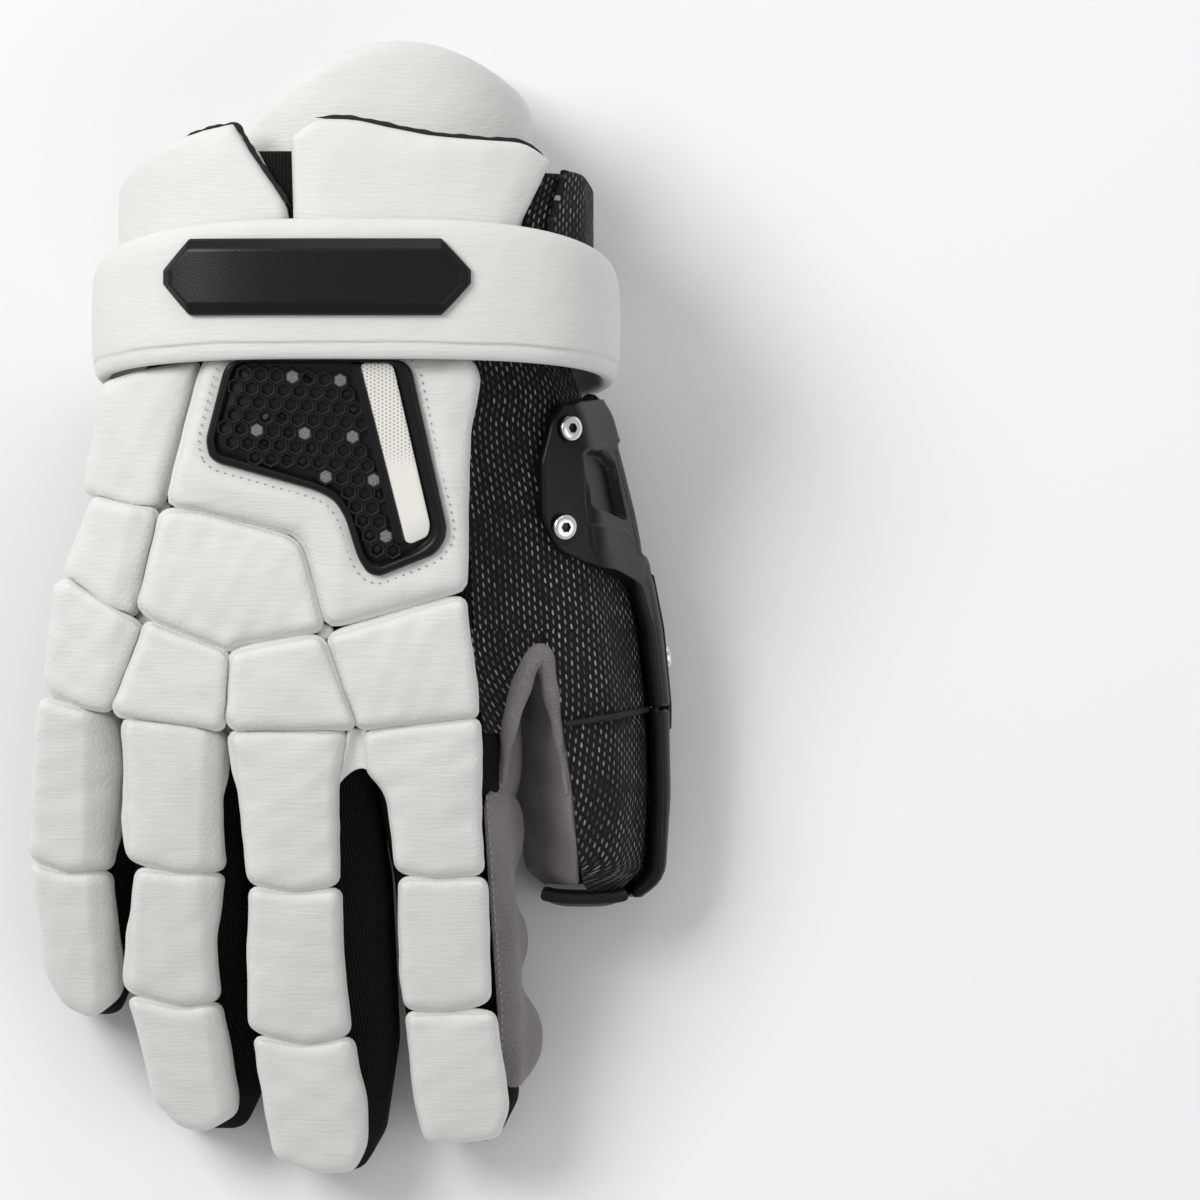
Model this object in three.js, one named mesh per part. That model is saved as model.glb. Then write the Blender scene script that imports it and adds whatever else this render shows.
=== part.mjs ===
// Right-hand goalkeeper's glove for field lacrosse, lying palm down.
// Millimetres. +Z is up from the palm to the back of the hand, +Y runs from the
// fingers to the cuff and +X is the thumb side. The origin is on the floor, in the
// middle of the glove's own box.
import * as THREE from 'three';

// Where the drawing origin lies in the finished frame.
const FRAME_SHIFT = { x: 0.12, y: -0.65, z: 0 };

// Walls and gaps.
const CLOTH_WALL = 2.4;
const SEWN_GAP = 0.4;
const PAD_SHRINK = 0.35;
const PAD_CORNER = 4.5;
const FINGER_PAD_THICKNESS = 18;
const BACK_PAD_THICKNESS = 20;
const SEAT = 0.4;

// Cuff and strap.
const CUFF = { x: 1, z: 60.5, halfWidth: 83.5, halfHeight: 60.5 };
const STRAP_THICKNESS = 7.5;
const STRAP_DORSAL_Y = 101.5;
const STRAP_SLANT = 21.5;
const STRAP_WIDTH_DORSAL = 42;
const STRAP_WIDTH_PALMAR = 30;
const WING_THICKNESS = 11;
const FLAP_THICKNESS = 3;
const CUFF_START_Y = 84.6;

// Floating wrist guard, a padded tube that stands out of the cuff.
const GUARD = { x: 4.5, z: 55, halfWidth: 52, halfHeight: 43, wall: 6.5 };

// Thumb guard.
const GUARD_PLATE = 5;
const TONGUE_PLATE = 2.2;
const SCREW = { radius: 4, height: 1.7, recess: 1.6, recessDepth: 1 };

const COLOURS = {
  fabric: 0xe4e4df,
  black: 0x17171a,
  mesh: 0x3a3b3d,
  suede: 0x7f7672,
  plastic: 0x121214,
  metal: 0xc4c6c8,
  cream: 0xd8d4c6,
};

const glove = new THREE.Group();
glove.name = 'lacrosse_goalie_glove';

function addPiece(name, geometry, colour, roughness = 0.85, metalness = 0) {
  const material = new THREE.MeshStandardMaterial({ color: colour, roughness, metalness });
  const mesh = new THREE.Mesh(geometry, material);
  mesh.name = name;
  geometry.translate(FRAME_SHIFT.x, FRAME_SHIFT.y, FRAME_SHIFT.z);
  glove.add(mesh);
  return mesh;
}

const lerp = (a, b, t) => a + (b - a) * t;
const radians = (degrees) => (degrees * Math.PI) / 180;

// Reads every numeric column of a table sorted along `key`, between its rows.
function rowAt(rows, key, value) {
  const rising = rows[0][key] < rows[rows.length - 1][key];
  const sorted = rising ? rows : [...rows].reverse();
  let i = 0;
  while (i < sorted.length - 2 && value > sorted[i + 1][key]) i += 1;
  const low = sorted[i];
  const high = sorted[i + 1];
  const t = (value - low[key]) / (high[key] - low[key]);
  const out = {};
  for (const column of Object.keys(low)) out[column] = lerp(low[column], high[column], t);
  return out;
}

// A closed body through rings of equal length, with a flat cap on both ends.
function stackedRings(rings) {
  const count = rings[0].length;
  const position = [];
  const index = [];
  for (const ring of rings) for (const p of ring) position.push(p.x, p.y, p.z);
  for (let r = 0; r < rings.length - 1; r += 1) {
    for (let i = 0; i < count; i += 1) {
      const a = r * count + i;
      const b = r * count + ((i + 1) % count);
      index.push(a, b, b + count, a, b + count, a + count);
    }
  }
  const last = (rings.length - 1) * count;
  const foot = rings.length * count;
  position.push(...middleOf(rings[0]), ...middleOf(rings[rings.length - 1]));
  for (let i = 0; i < count; i += 1) {
    const next = (i + 1) % count;
    index.push(foot, next, i, foot + 1, last + i, last + next);
  }
  const geometry = new THREE.BufferGeometry();
  geometry.setAttribute('position', new THREE.Float32BufferAttribute(position, 3));
  geometry.setIndex(index);
  return geometry;
}

const middleOf = (ring) =>
  ring.reduce((sum, p) => sum.add(p), new THREE.Vector3()).divideScalar(ring.length).toArray();

// Turns corners counter-clockwise, then rounds each one with a short arc.
function roundedOutline(corners, radius, steps = 2) {
  let points = corners.map(([x, y]) => new THREE.Vector2(x, y));
  if (THREE.ShapeUtils.area(points) < 0) points = points.reverse();
  const outline = [];
  points.forEach((p, i) => {
    const before = points[(i + points.length - 1) % points.length];
    const after = points[(i + 1) % points.length];
    const reach = Math.min(radius, 0.42 * p.distanceTo(before), 0.42 * p.distanceTo(after));
    const start = p.clone().lerp(before, reach / p.distanceTo(before));
    const end = p.clone().lerp(after, reach / p.distanceTo(after));
    for (let s = 0; s <= steps; s += 1) {
      const t = s / steps;
      const a = start.clone().lerp(p, t);
      const b = p.clone().lerp(end, t);
      outline.push(a.lerp(b, t));
    }
  });
  return outline;
}

// Moves a counter-clockwise outline inwards.
function insetOutline(outline, distance) {
  return outline.map((p, i) => {
    const before = outline[(i + outline.length - 1) % outline.length];
    const after = outline[(i + 1) % outline.length];
    const d1 = p.clone().sub(before).normalize();
    const d2 = after.clone().sub(p).normalize();
    const n1 = new THREE.Vector2(-d1.y, d1.x);
    const n2 = new THREE.Vector2(-d2.y, d2.x);
    const n = n1.clone().add(n2).normalize();
    const reach = distance / Math.max(0.6, n.dot(n1));
    return p.clone().addScaledVector(n, reach);
  });
}

// Height of the pads' tops along the back of the hand.
const BACK_PROFILE = [
  { y: 84, top: 111.5 },
  { y: -5, top: 100 },
  { y: -35, top: 93.5 },
];

// A foam pad: straight sides, a rounded shoulder and a flat top that lies in a plane.
// `plane` holds the top's height at a point and its slopes along x and y.
function padSolid(corners, plane, thickness, corner = PAD_CORNER, shoulder = 2.8) {
  const outline = insetOutline(roundedOutline(corners, corner), PAD_SHRINK);
  const top = (p) => plane.z + plane.slopeX * (p.x - plane.x) + plane.slopeY * (p.y - plane.y);
  const ring = (inset, drop) =>
    insetOutline(outline, inset).map((p) => new THREE.Vector3(p.x, p.y, top(p) - drop));
  return stackedRings([
    ring(0.5, thickness),
    ring(0, thickness - 1.2),
    ring(0, shoulder),
    ring(shoulder * 0.3, shoulder * 0.28),
    ring(shoulder, 0),
  ]);
}

// A sheet of even thickness on a grid of points. Cells that `open` names are left out.
// The thickness goes to the side on which the points that `towards` gives lie. `rim` may
// move a point of the offset face, where the sheet meets another.
function gridSheet(grid, thickness, { towards, lift = 0, open = () => false, rim } = {}) {
  const rows = grid.length;
  const columns = grid[0].length;
  const normal = (r, c) => {
    const here = grid[r][c];
    const faces = [];
    for (const [dr, dc] of [[-1, -1], [-1, 1], [1, 1], [1, -1]]) {
      const up = grid[r + dr]?.[c];
      const side = grid[r]?.[c + dc];
      if (!up || !side) continue;
      const face = up.clone().sub(here).cross(side.clone().sub(here));
      if (dr * dc < 0) face.negate();
      if (face.length() > 1e-6) faces.push(face.normalize());
    }
    const mean = faces.reduce((sum, face) => sum.add(face), new THREE.Vector3()).normalize();
    const spread = Math.min(...faces.map((face) => face.dot(mean)));
    return mean.divideScalar(Math.max(0.72, spread));
  };
  let facing = 0;
  grid.forEach((row, r) => row.forEach((p, c) => {
    facing += Math.sign(normal(r, c).dot(towards(p).sub(p)));
  }));
  const near = [];
  const far = [];
  for (let r = 0; r < rows; r += 1) {
    for (let c = 0; c < columns; c += 1) {
      const n = normal(r, c).multiplyScalar(Math.sign(facing));
      const base = grid[r][c].clone().addScaledVector(n, lift);
      const moved = grid[r][c].clone().addScaledVector(n, lift + thickness);
      if (rim) rim(moved, base, r, c);
      near.push(base);
      far.push(moved);
    }
  }
  const at = (r, c) => r * columns + c;
  const total = rows * columns;
  const solid = (r, c) => r >= 0 && c >= 0 && r < rows - 1 && c < columns - 1 && !open(r, c);
  const index = [];
  const quad = (a, b, c, d) => index.push(a, b, c, a, c, d);
  const wall = (a, b) => quad(b, a, a + total, b + total);
  for (let r = 0; r < rows - 1; r += 1) {
    for (let c = 0; c < columns - 1; c += 1) {
      if (!solid(r, c)) continue;
      const [a, b, d, e] = [at(r, c), at(r, c + 1), at(r + 1, c + 1), at(r + 1, c)];
      quad(a, b, d, e);
      quad(a + total, e + total, d + total, b + total);
      if (!solid(r - 1, c)) wall(a, b);
      if (!solid(r, c + 1)) wall(b, d);
      if (!solid(r + 1, c)) wall(d, e);
      if (!solid(r, c - 1)) wall(e, a);
    }
  }
  const used = [...new Set(index)];
  const renumber = new Map(used.map((old, i) => [old, i]));
  const points = [...near, ...far];
  const position = used.flatMap((i) => points[i].toArray());
  let order = index.map((i) => renumber.get(i));
  const geometry = new THREE.BufferGeometry();
  geometry.setAttribute('position', new THREE.Float32BufferAttribute(position, 3));
  if (signedVolume(position, order) < 0) {
    order = order.map((_, i) => order[i - (i % 3) + [0, 2, 1][i % 3]]);
  }
  geometry.setIndex(order);
  return geometry;
}

function signedVolume(position, order) {
  const point = (i) => new THREE.Vector3(...position.slice(3 * i, 3 * i + 3));
  let volume = 0;
  for (let i = 0; i < order.length; i += 3) {
    volume += point(order[i]).dot(point(order[i + 1]).cross(point(order[i + 2])));
  }
  return volume / 6;
}

// Fingers

// One row per knuckle and one for the tip. `left` and `right` bound the cloth finger,
// `pad` is the height of the pads' tops there and `palm` that of the cloth's underside.
const FINGERS = {
  pinky: [
    { y: -34.5, left: -97, right: -71.2, pad: 86, palm: 29 },
    { y: -82, left: -97, right: -72, pad: 68, palm: 14 },
    { y: -116, left: -94, right: -73, pad: 52, palm: 4 },
    { y: -127, left: -90, right: -76, pad: 46.5, palm: 4 },
  ],
  ring: [
    { y: -34.5, left: -70, right: -37.2, pad: 91.5, palm: 32 },
    { y: -82, left: -68, right: -35.5, pad: 74.5, palm: 22 },
    { y: -124, left: -66, right: -34, pad: 54, palm: 9 },
    { y: -152, left: -62, right: -31.5, pad: 40, palm: 1 },
    { y: -164, left: -56, right: -36, pad: 34, palm: 3 },
  ],
  middle: [
    { y: -34.5, left: -36, right: 3, pad: 93.5, palm: 33 },
    { y: -88, left: -31, right: 10, pad: 75.5, palm: 23 },
    { y: -136, left: -27, right: 12, pad: 53.5, palm: 8 },
    { y: -166, left: -21, right: 7.5, pad: 39, palm: 0 },
    { y: -177.5, left: -16, right: 2, pad: 33.5, palm: 3 },
  ],
  index: [
    { y: -34.5, left: 4.5, right: 44, pad: 93, palm: 35 },
    { y: -84, left: 15, right: 47, pad: 76, palm: 26 },
    { y: -127, left: 18, right: 50, pad: 56, palm: 14 },
    { y: -156, left: 24, right: 50, pad: 42.5, palm: 4 },
    { y: -168, left: 28, right: 45, pad: 37, palm: 6 },
  ],
};

// The cloth finger's seam, where its black back meets its suede palm.
const seamHeight = (row) => lerp(row.palm, row.pad - FINGER_PAD_THICKNESS, 0.42);

function fingerBack(rows) {
  const grid = rows.map((row, r) => {
    const top = row.pad - FINGER_PAD_THICKNESS - SEAT;
    const seam = seamHeight(row) + 0.2;
    const round = Math.min(5, (top - seam) * 0.6);
    const tip = r === rows.length - 1;
    const crown = tip ? lerp(seam, top, 0.35) : top;
    const side = tip ? lerp(seam, top, 0.2) : top - round;
    return [
      [row.left, seam],
      [row.left, side],
      [row.left + round, crown],
      [row.right - round, crown],
      [row.right, side],
      [row.right, seam],
    ].map(([x, z]) => new THREE.Vector3(x, row.y, z));
  });
  return gridSheet(grid, CLOTH_WALL, { towards: middleOfRow(grid), rim: keepSeam(grid) });
}

function fingerPalm(rows) {
  const grid = rows.map((row, r) => {
    const seam = seamHeight(row) - 0.2;
    const round = Math.min(7, (seam - row.palm) * 0.7);
    const tip = r === rows.length - 1;
    const sole = tip ? lerp(seam, row.palm, 0.55) : row.palm;
    const side = tip ? lerp(seam, row.palm, 0.3) : row.palm + round;
    return [
      [row.right, seam],
      [row.right, side],
      [row.right - round, sole],
      [row.left + round, sole],
      [row.left, side],
      [row.left, seam],
    ].map(([x, z]) => new THREE.Vector3(x, row.y, z));
  });
  return gridSheet(grid, CLOTH_WALL, { towards: middleOfRow(grid), rim: keepSeam(grid) });
}

// For each point of a trough-shaped grid, the middle of the points in its row.
function middleOfRow(grid) {
  return (p) => {
    const row = grid.find((points) => points.some((q) => q.distanceTo(p) < 1e-6));
    return new THREE.Vector3(...middleOf(row));
  };
}

// Keeps the rims of a trough level, and closes its last row on itself.
function keepSeam(grid) {
  const last = grid.length - 1;
  return (moved, base, r, c) => {
    if (c === 0 || c === grid[0].length - 1) moved.z = base.z;
    if (r === 0) moved.y = base.y;
    if (r === last) moved.z = base.z;
  };
}

for (const [finger, rows] of Object.entries(FINGERS)) {
  addPiece(`${finger}_finger_back`, fingerBack(rows), COLOURS.black, 0.9);
  addPiece(`${finger}_finger_palm`, fingerPalm(rows), COLOURS.suede, 0.95);
}

// Outlines of the finger pads from knuckle to tip, as corners in x and y.
const FINGER_PADS = {
  pinky: [
    [[-98, -27], [-83, -31], [-74, -32.5], [-72, -47.5], [-76.3, -80.8], [-91, -82], [-102.5, -77],
      [-99.5, -34]],
    [[-102, -79.5], [-91, -83], [-76.5, -82.5], [-74.5, -122], [-83.5, -129.5], [-92.5, -125],
      [-98, -115]],
  ],
  ring: [
    [[-71.5, -33], [-50.5, -35.5], [-39, -38.5], [-41.5, -59.5], [-40.5, -81], [-54.5, -82],
      [-71, -78]],
    [[-68.5, -81], [-54.5, -82.7], [-40.5, -83], [-44, -104], [-42.5, -122.5], [-54.5, -125],
      [-72, -119.5], [-71, -100]],
    [[-71.5, -122.5], [-54.5, -126], [-42.3, -124.5], [-37.5, -154], [-38, -160], [-47.5, -166],
      [-56, -164.5], [-64, -156]],
  ],
  middle: [
    [[-38, -38.5], [-34.5, -37.2], [-1, -37.5], [-4.5, -56.5], [-4, -85.5], [-19, -88], [-33, -84.7],
      [-35.5, -58.5]],
    [[-32.5, -87], [-19, -89], [-3.5, -87.5], [-3.5, -109], [-1, -133.5], [-16, -137], [-33.5, -132],
      [-33.5, -107.5]],
    [[-32, -135], [-16, -138.2], [-0.5, -135.5], [4, -158], [3.5, -171], [-1, -179], [-12.5, -179],
      [-26, -174], [-29.5, -153.5]],
  ],
  index: [
    [[4, -38], [12.5, -36.3], [40, -33.5], [41, -42], [40.5, -59.5], [41.5, -82], [27.5, -83.5],
      [13.5, -81.5], [11, -58], [4.5, -49.5]],
    [[14.5, -84.3], [27.5, -84.5], [42.5, -84], [43.5, -123], [27.5, -126.5], [16, -125.5],
      [14.5, -112]],
    [[16.5, -127.5], [27.5, -127.7], [45, -127], [47.5, -145.5], [49, -158], [46, -168], [31, -169.5],
      [22.5, -169], [19, -155.5]],
  ],
};

for (const [finger, pads] of Object.entries(FINGER_PADS)) {
  const joints = FINGERS[finger];
  pads.forEach((corners, i) => {
    const from = joints[i];
    const to = i === pads.length - 1 ? joints[joints.length - 1] : joints[i + 1];
    const slopeY = (from.pad - to.pad) / (from.y - to.y);
    const plane = { x: 0, y: from.y, z: from.pad, slopeX: 0, slopeY };
    const geometry = padSolid(corners, plane, FINGER_PAD_THICKNESS);
    addPiece(`${finger}_pad_${i + 1}`, geometry, COLOURS.fabric, 0.8);
  });
}

// The grey scalloped patch sewn along the thumb side of the index finger. Its outer
// edge bulges in four lobes.
const PATCH_LOBES = [
  { y: -57, edge: 50 },
  { y: -64, edge: 54.4 },
  { y: -73, edge: 54 },
  { y: -83, edge: 50.6 },
  { y: -92, edge: 50.6 },
  { y: -99, edge: 55 },
  { y: -108, edge: 55.6 },
  { y: -115, edge: 52.6 },
  { y: -122, edge: 54 },
  { y: -130, edge: 60 },
  { y: -142, edge: 60 },
  { y: -149, edge: 54.5 },
];

function indexPatch() {
  const grid = PATCH_LOBES.map(({ y, edge }) => {
    const cloth = rowAt(FINGERS.index, 'y', y);
    const seam = seamHeight(cloth);
    const inner = cloth.right + 0.5;
    const hang = edge - inner;
    return [
      new THREE.Vector3(inner, y, seam + 14),
      new THREE.Vector3(inner + 0.2, y, seam + 7),
      new THREE.Vector3(inner + Math.max(1, hang * 0.55), y, seam),
      new THREE.Vector3(inner + Math.max(1.5, hang), y, seam - 5),
    ];
  });
  return gridSheet(grid, 2, { towards: (p) => new THREE.Vector3(100, p.y, p.z) });
}

addPiece('index_side_patch', indexPatch(), COLOURS.suede, 0.95);

// Hand

// Cloth of the hand, one row per station from the wrist to the knuckles. The back runs
// over `edge`, `ridge` and `crest` to the mesh side at `rim`; `ulnar` is the little
// finger side. Each column pair is a point's x and z.
const HAND_ROWS = [
  {
    y: 84, ulnarX: -64, ulnarZ: 48, edgeX: -48, edgeZ: 82,
    ridgeX: -25, crestX: 10, rimX: 36, palmLeftX: -46, palmZ: 8,
  },
  {
    y: 62, ulnarX: -73, ulnarZ: 46, edgeX: -57, edgeZ: 78,
    ridgeX: -30, crestX: 10, rimX: 36, palmLeftX: -50, palmZ: 8,
  },
  {
    y: 30, ulnarX: -82, ulnarZ: 44, edgeX: -68, edgeZ: 72,
    ridgeX: -40, crestX: 8, rimX: 36.5, palmLeftX: -66, palmZ: 9,
  },
  {
    y: -5, ulnarX: -91, ulnarZ: 44, edgeX: -80, edgeZ: 65,
    ridgeX: -52, crestX: 0, rimX: 38, palmLeftX: -78, palmZ: 15,
  },
  {
    y: -34, ulnarX: -97, ulnarZ: 45, edgeX: -90, edgeZ: 60,
    ridgeX: -62, crestX: -8, rimX: 41, palmLeftX: -88, palmZ: 29,
  },
];

// Mesh side and thumb, from the wrist to the thumb's tip. `ridge` and `top` bound the
// upper face, `side` is the widest point and `heel` the lower edge.
const THUMB_ROWS = [
  { y: 84, ridgeX: 50, ridgeZ: 82, topX: 60, topZ: 70, sideX: 68, sideZ: 46, heelX: 46, heelZ: 9.5 },
  { y: 66, ridgeX: 53.3, ridgeZ: 79, topX: 66, topZ: 68.5, sideX: 74.5, sideZ: 43, heelX: 52, heelZ: 9.5 },
  { y: 61, ridgeX: 54.5, ridgeZ: 78, topX: 68, topZ: 68, sideX: 77, sideZ: 42, heelX: 66, heelZ: 8.8 },
  { y: 48, ridgeX: 56, ridgeZ: 76, topX: 71, topZ: 67, sideX: 80.5, sideZ: 40, heelX: 73, heelZ: 8 },
  { y: 30, ridgeX: 57, ridgeZ: 74, topX: 74, topZ: 66, sideX: 85, sideZ: 38, heelX: 79, heelZ: 6 },
  { y: -6, ridgeX: 60, ridgeZ: 68, topX: 77, topZ: 64, sideX: 91.5, sideZ: 36, heelX: 87, heelZ: 5 },
  { y: -30, ridgeX: 66, ridgeZ: 63, topX: 82, topZ: 61, sideX: 94, sideZ: 33, heelX: 89, heelZ: 5 },
  { y: -58, ridgeX: 70, ridgeZ: 58, topX: 84, topZ: 56, sideX: 94.5, sideZ: 31, heelX: 89, heelZ: 5 },
  { y: -82, ridgeX: 72, ridgeZ: 50, topX: 84, topZ: 48, sideX: 93, sideZ: 28, heelX: 87, heelZ: 6 },
  { y: -88, ridgeX: 73, ridgeZ: 38, topX: 81, topZ: 37, sideX: 86, sideZ: 27, heelX: 82, heelZ: 16 },
];

const THUMB_START_Y = -6;
const intoHand = (p) => new THREE.Vector3(10, p.y, 45);
const intoThumb = (p) => new THREE.Vector3(73, p.y, 32);
const backTop = (y) => rowAt(BACK_PROFILE, 'y', y).top - BACK_PAD_THICKNESS - 0.6;

function handBack() {
  const grid = HAND_ROWS.map((row) => {
    const top = backTop(row.y);
    return [
      [row.ulnarX, row.ulnarZ + 0.2],
      [row.edgeX, row.edgeZ],
      [row.ridgeX, top - 1.5],
      [row.crestX, top],
      [row.rimX, top - 0.5],
    ].map(([x, z]) => new THREE.Vector3(x, row.y, z));
  });
  const rim = (moved, base, r, c) => {
    if (c === 0) moved.z = base.z;
    if (c === 4) moved.x = base.x;
    if (r === 0 || r === grid.length - 1) moved.y = base.y;
  };
  return gridSheet(grid, CLOTH_WALL, { towards: intoHand, rim });
}

const RIM_GAP = 0.4;
const meshStations = [84, 66, 61, 48, 30, 12, -5.6];

function meshSide() {
  const grid = meshStations.map((y) => {
    const hand = rowAt(HAND_ROWS, 'y', y);
    const row = rowAt(THUMB_ROWS, 'y', y);
    return [
      [hand.rimX + RIM_GAP, backTop(y) - 0.5],
      [row.ridgeX, row.ridgeZ],
      [row.topX, row.topZ],
      [row.sideX, row.sideZ],
      [row.heelX, row.heelZ + 0.2],
    ].map(([x, z]) => new THREE.Vector3(x, y, z));
  });
  const end = rowAt(HAND_ROWS, 'y', -30);
  const lastRow = grid[grid.length - 1].map((p) => p.clone());
  lastRow[0].set(end.rimX + RIM_GAP, -30, backTop(-30) - 0.5);
  lastRow[1].set(end.rimX + 3.4, -30, backTop(-30) - 4);
  grid.push(lastRow);
  const rim = (moved, base, r, c) => {
    if (c === 0) moved.x = base.x;
    if (c === 4) moved.z = base.z;
    if (r === 0 || r >= meshStations.length - 1) moved.y = base.y;
  };
  const open = (r, c) => r === meshStations.length - 1 && c > 0;
  return gridSheet(grid, CLOTH_WALL, { towards: intoHand, open, rim });
}

// Suede palm from the wrist to the fingers. `heel` and `ball` carry the thumb's root,
// `hollow` is the crease beside it, and the rest is read from the hand's own rows.
const PALM_ROWS = [
  { y: 84, ballX: 37, ballZ: 8, hollowX: 28, hollowZ: 8 },
  { y: 66, ballX: 42, ballZ: 8.2, hollowX: 33, hollowZ: 8 },
  { y: 61, ballX: 50, ballZ: 8.2, hollowX: 36, hollowZ: 8 },
  { y: 48, ballX: 54, ballZ: 8, hollowX: 38, hollowZ: 8.6 },
  { y: 30, ballX: 58, ballZ: 6.4, hollowX: 40, hollowZ: 9.5 },
  { y: -5, ballX: 53, ballZ: 6, hollowX: 42, hollowZ: 15 },
  { y: -19, ballX: 48, ballZ: 14, hollowX: 42, hollowZ: 22 },
  { y: -34, ballX: 46, ballZ: 34, hollowX: 42, hollowZ: 33 },
];

function palmPanel() {
  const grid = PALM_ROWS.map(({ y, ballX, ballZ, hollowX, hollowZ }) => {
    const hand = rowAt(HAND_ROWS, 'y', y);
    const thumb = rowAt(THUMB_ROWS, 'y', Math.max(y, THUMB_START_Y));
    return [
      [thumb.heelX - CLOTH_WALL - 4.6, Math.max(thumb.heelZ, ballZ - 1)],
      [ballX, ballZ],
      [hollowX, hollowZ],
      [hand.palmLeftX, hand.palmZ],
      [hand.ulnarX, hand.ulnarZ - 0.2],
    ].map(([x, z]) => new THREE.Vector3(x, y, z));
  });
  const rim = (moved, base, r, c) => {
    if (c === 4) moved.z = base.z;
    if (r === 0 || r === grid.length - 1) moved.y = base.y;
  };
  const open = (r, c) => (r >= 5 && c === 0) || (r >= 6 && c === 1);
  return gridSheet(grid, CLOTH_WALL, { towards: intoHand, open, rim });
}

addPiece('hand_back_liner', handBack(), COLOURS.black, 0.9);
addPiece('hand_mesh_side', meshSide(), COLOURS.mesh, 0.9);
addPiece('palm_panel', palmPanel(), COLOURS.suede, 0.95);

// Pads on the back of the hand. `lift` is taken from the height of the profile at the
// pad's own middle, and `slopeX` tips the pad down towards the little finger.
const BACK_PADS = [
  {
    name: 'pinky_knuckle_pad', thickness: FINGER_PAD_THICKNESS, lift: -5, slopeX: 0.26,
    corners: [[-89.5, 10.5], [-68.5, -2.5], [-65.5, -4.5], [-75.5, -31], [-84, -30], [-95, -25],
      [-97, -21], [-93.5, 8.5]],
  },
  {
    name: 'ring_knuckle_pad', thickness: FINGER_PAD_THICKNESS, lift: -0.5, slopeX: 0.05,
    corners: [[-64, -2.8], [-38.5, -12.5], [-39, -28], [-40.5, -37], [-73, -32.3], [-75, -29]],
  },
  {
    name: 'middle_knuckle_pad', thickness: FINGER_PAD_THICKNESS, lift: 1, slopeX: 0,
    corners: [[-37.8, -12.7], [-23.5, -9.3], [-9.3, -7.5], [1.2, -35.8], [-36.5, -36.8],
      [-39.7, -32.5]],
  },
  {
    name: 'index_knuckle_pad', thickness: FINGER_PAD_THICKNESS, lift: -0.3, slopeX: -0.02,
    corners: [[-7.2, -7.5], [27.5, 3], [36, 4.5], [40, -28], [39.5, -32.5], [4, -36.3], [1.7, -35]],
  },
  {
    name: 'lower_side_pad', thickness: BACK_PAD_THICKNESS, lift: -6, slopeX: 0.3,
    corners: [[-81, 36.5], [-60.5, 32], [-63.2, 18], [-68, -1.2], [-77, 1.5], [-89.5, 11.5], [-90, 15]],
  },
  {
    name: 'upper_side_pad', thickness: BACK_PAD_THICKNESS, lift: -9, slopeX: 0.34,
    corners: [[-79, 71.5], [-66, 76], [-47.5, 79], [-59.8, 33], [-69.5, 33.5], [-84.5, 38]],
  },
  {
    name: 'centre_back_pad', thickness: BACK_PAD_THICKNESS, lift: 0, slopeX: 0.02,
    corners: [[-59.3, 31.5], [-49, 32], [-20.5, 24.2], [-15.8, 21], [-8.8, -5], [-34.5, -9.3],
      [-38.5, -11.6], [-63.2, -1.5], [-66.8, 2.5]],
  },
  {
    name: 'thumb_side_back_pad', thickness: BACK_PAD_THICKNESS, lift: 0, slopeX: 0,
    corners: [[-45.5, 80], [38, 80], [41, 74], [37.5, 55], [36.5, 7.5], [27.5, 5.3], [0, -2.3],
      [-7.2, -4], [-14.5, 21], [-18, 24.7], [-48.5, 32.8], [-57.5, 34.5]],
  },
];

function backPadPlane({ corners, lift, slopeX }) {
  const xs = corners.map(([x]) => x);
  const ys = corners.map(([, y]) => y);
  const x = (Math.min(...xs) + Math.max(...xs)) / 2;
  const y = (Math.min(...ys) + Math.max(...ys)) / 2;
  const step = 0.5;
  const height = (at) => rowAt(BACK_PROFILE, 'y', at).top;
  const slopeY = (height(y + step) - height(y - step)) / (2 * step);
  return { x, y, z: height(y) + lift, slopeX, slopeY };
}

for (const pad of BACK_PADS) {
  const plane = backPadPlane(pad);
  addPiece(pad.name, padSolid(pad.corners, plane, pad.thickness), COLOURS.fabric, 0.8);
}

// Vent on the back of the hand

const VENT_PLANE = backPadPlane(BACK_PADS[BACK_PADS.length - 1]);
const ventTop = (x, y) => VENT_PLANE.z + VENT_PLANE.slopeY * (y - VENT_PLANE.y);
const VENT_OUTER = [
  [-38.5, 79], [-45, 54], [-44, 49], [-41.5, 47], [-11, 38.5], [-5, 35.5], [-1.5, 30],
  [2.5, 17], [5.5, 12.5], [9, 11.5], [26.5, 18.5], [29.5, 23], [30, 27], [18.5, 79],
];
const VENT_INNER = [
  [-35.5, 76.5], [-42, 54], [-41, 50.3], [-10, 41.2], [-3, 38], [1, 31.5],
  [5, 18], [8.5, 15], [20.5, 19.8], [25, 23.5], [25.5, 28], [14, 76.5],
];
const STRIP = [[3, 76], [13.4, 76], [25, 27.5], [24.3, 24], [19, 21.6], [17, 22.5]];
const GRILLE = [
  [-35, 76], [-41.4, 54], [-40.4, 50.8], [-9.8, 41.8], [-2.5, 38.4], [1.6, 31.7],
  [5.5, 18.6], [8.7, 15.7], [16, 18.6], [16, 22], [2.2, 76],
];

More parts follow.
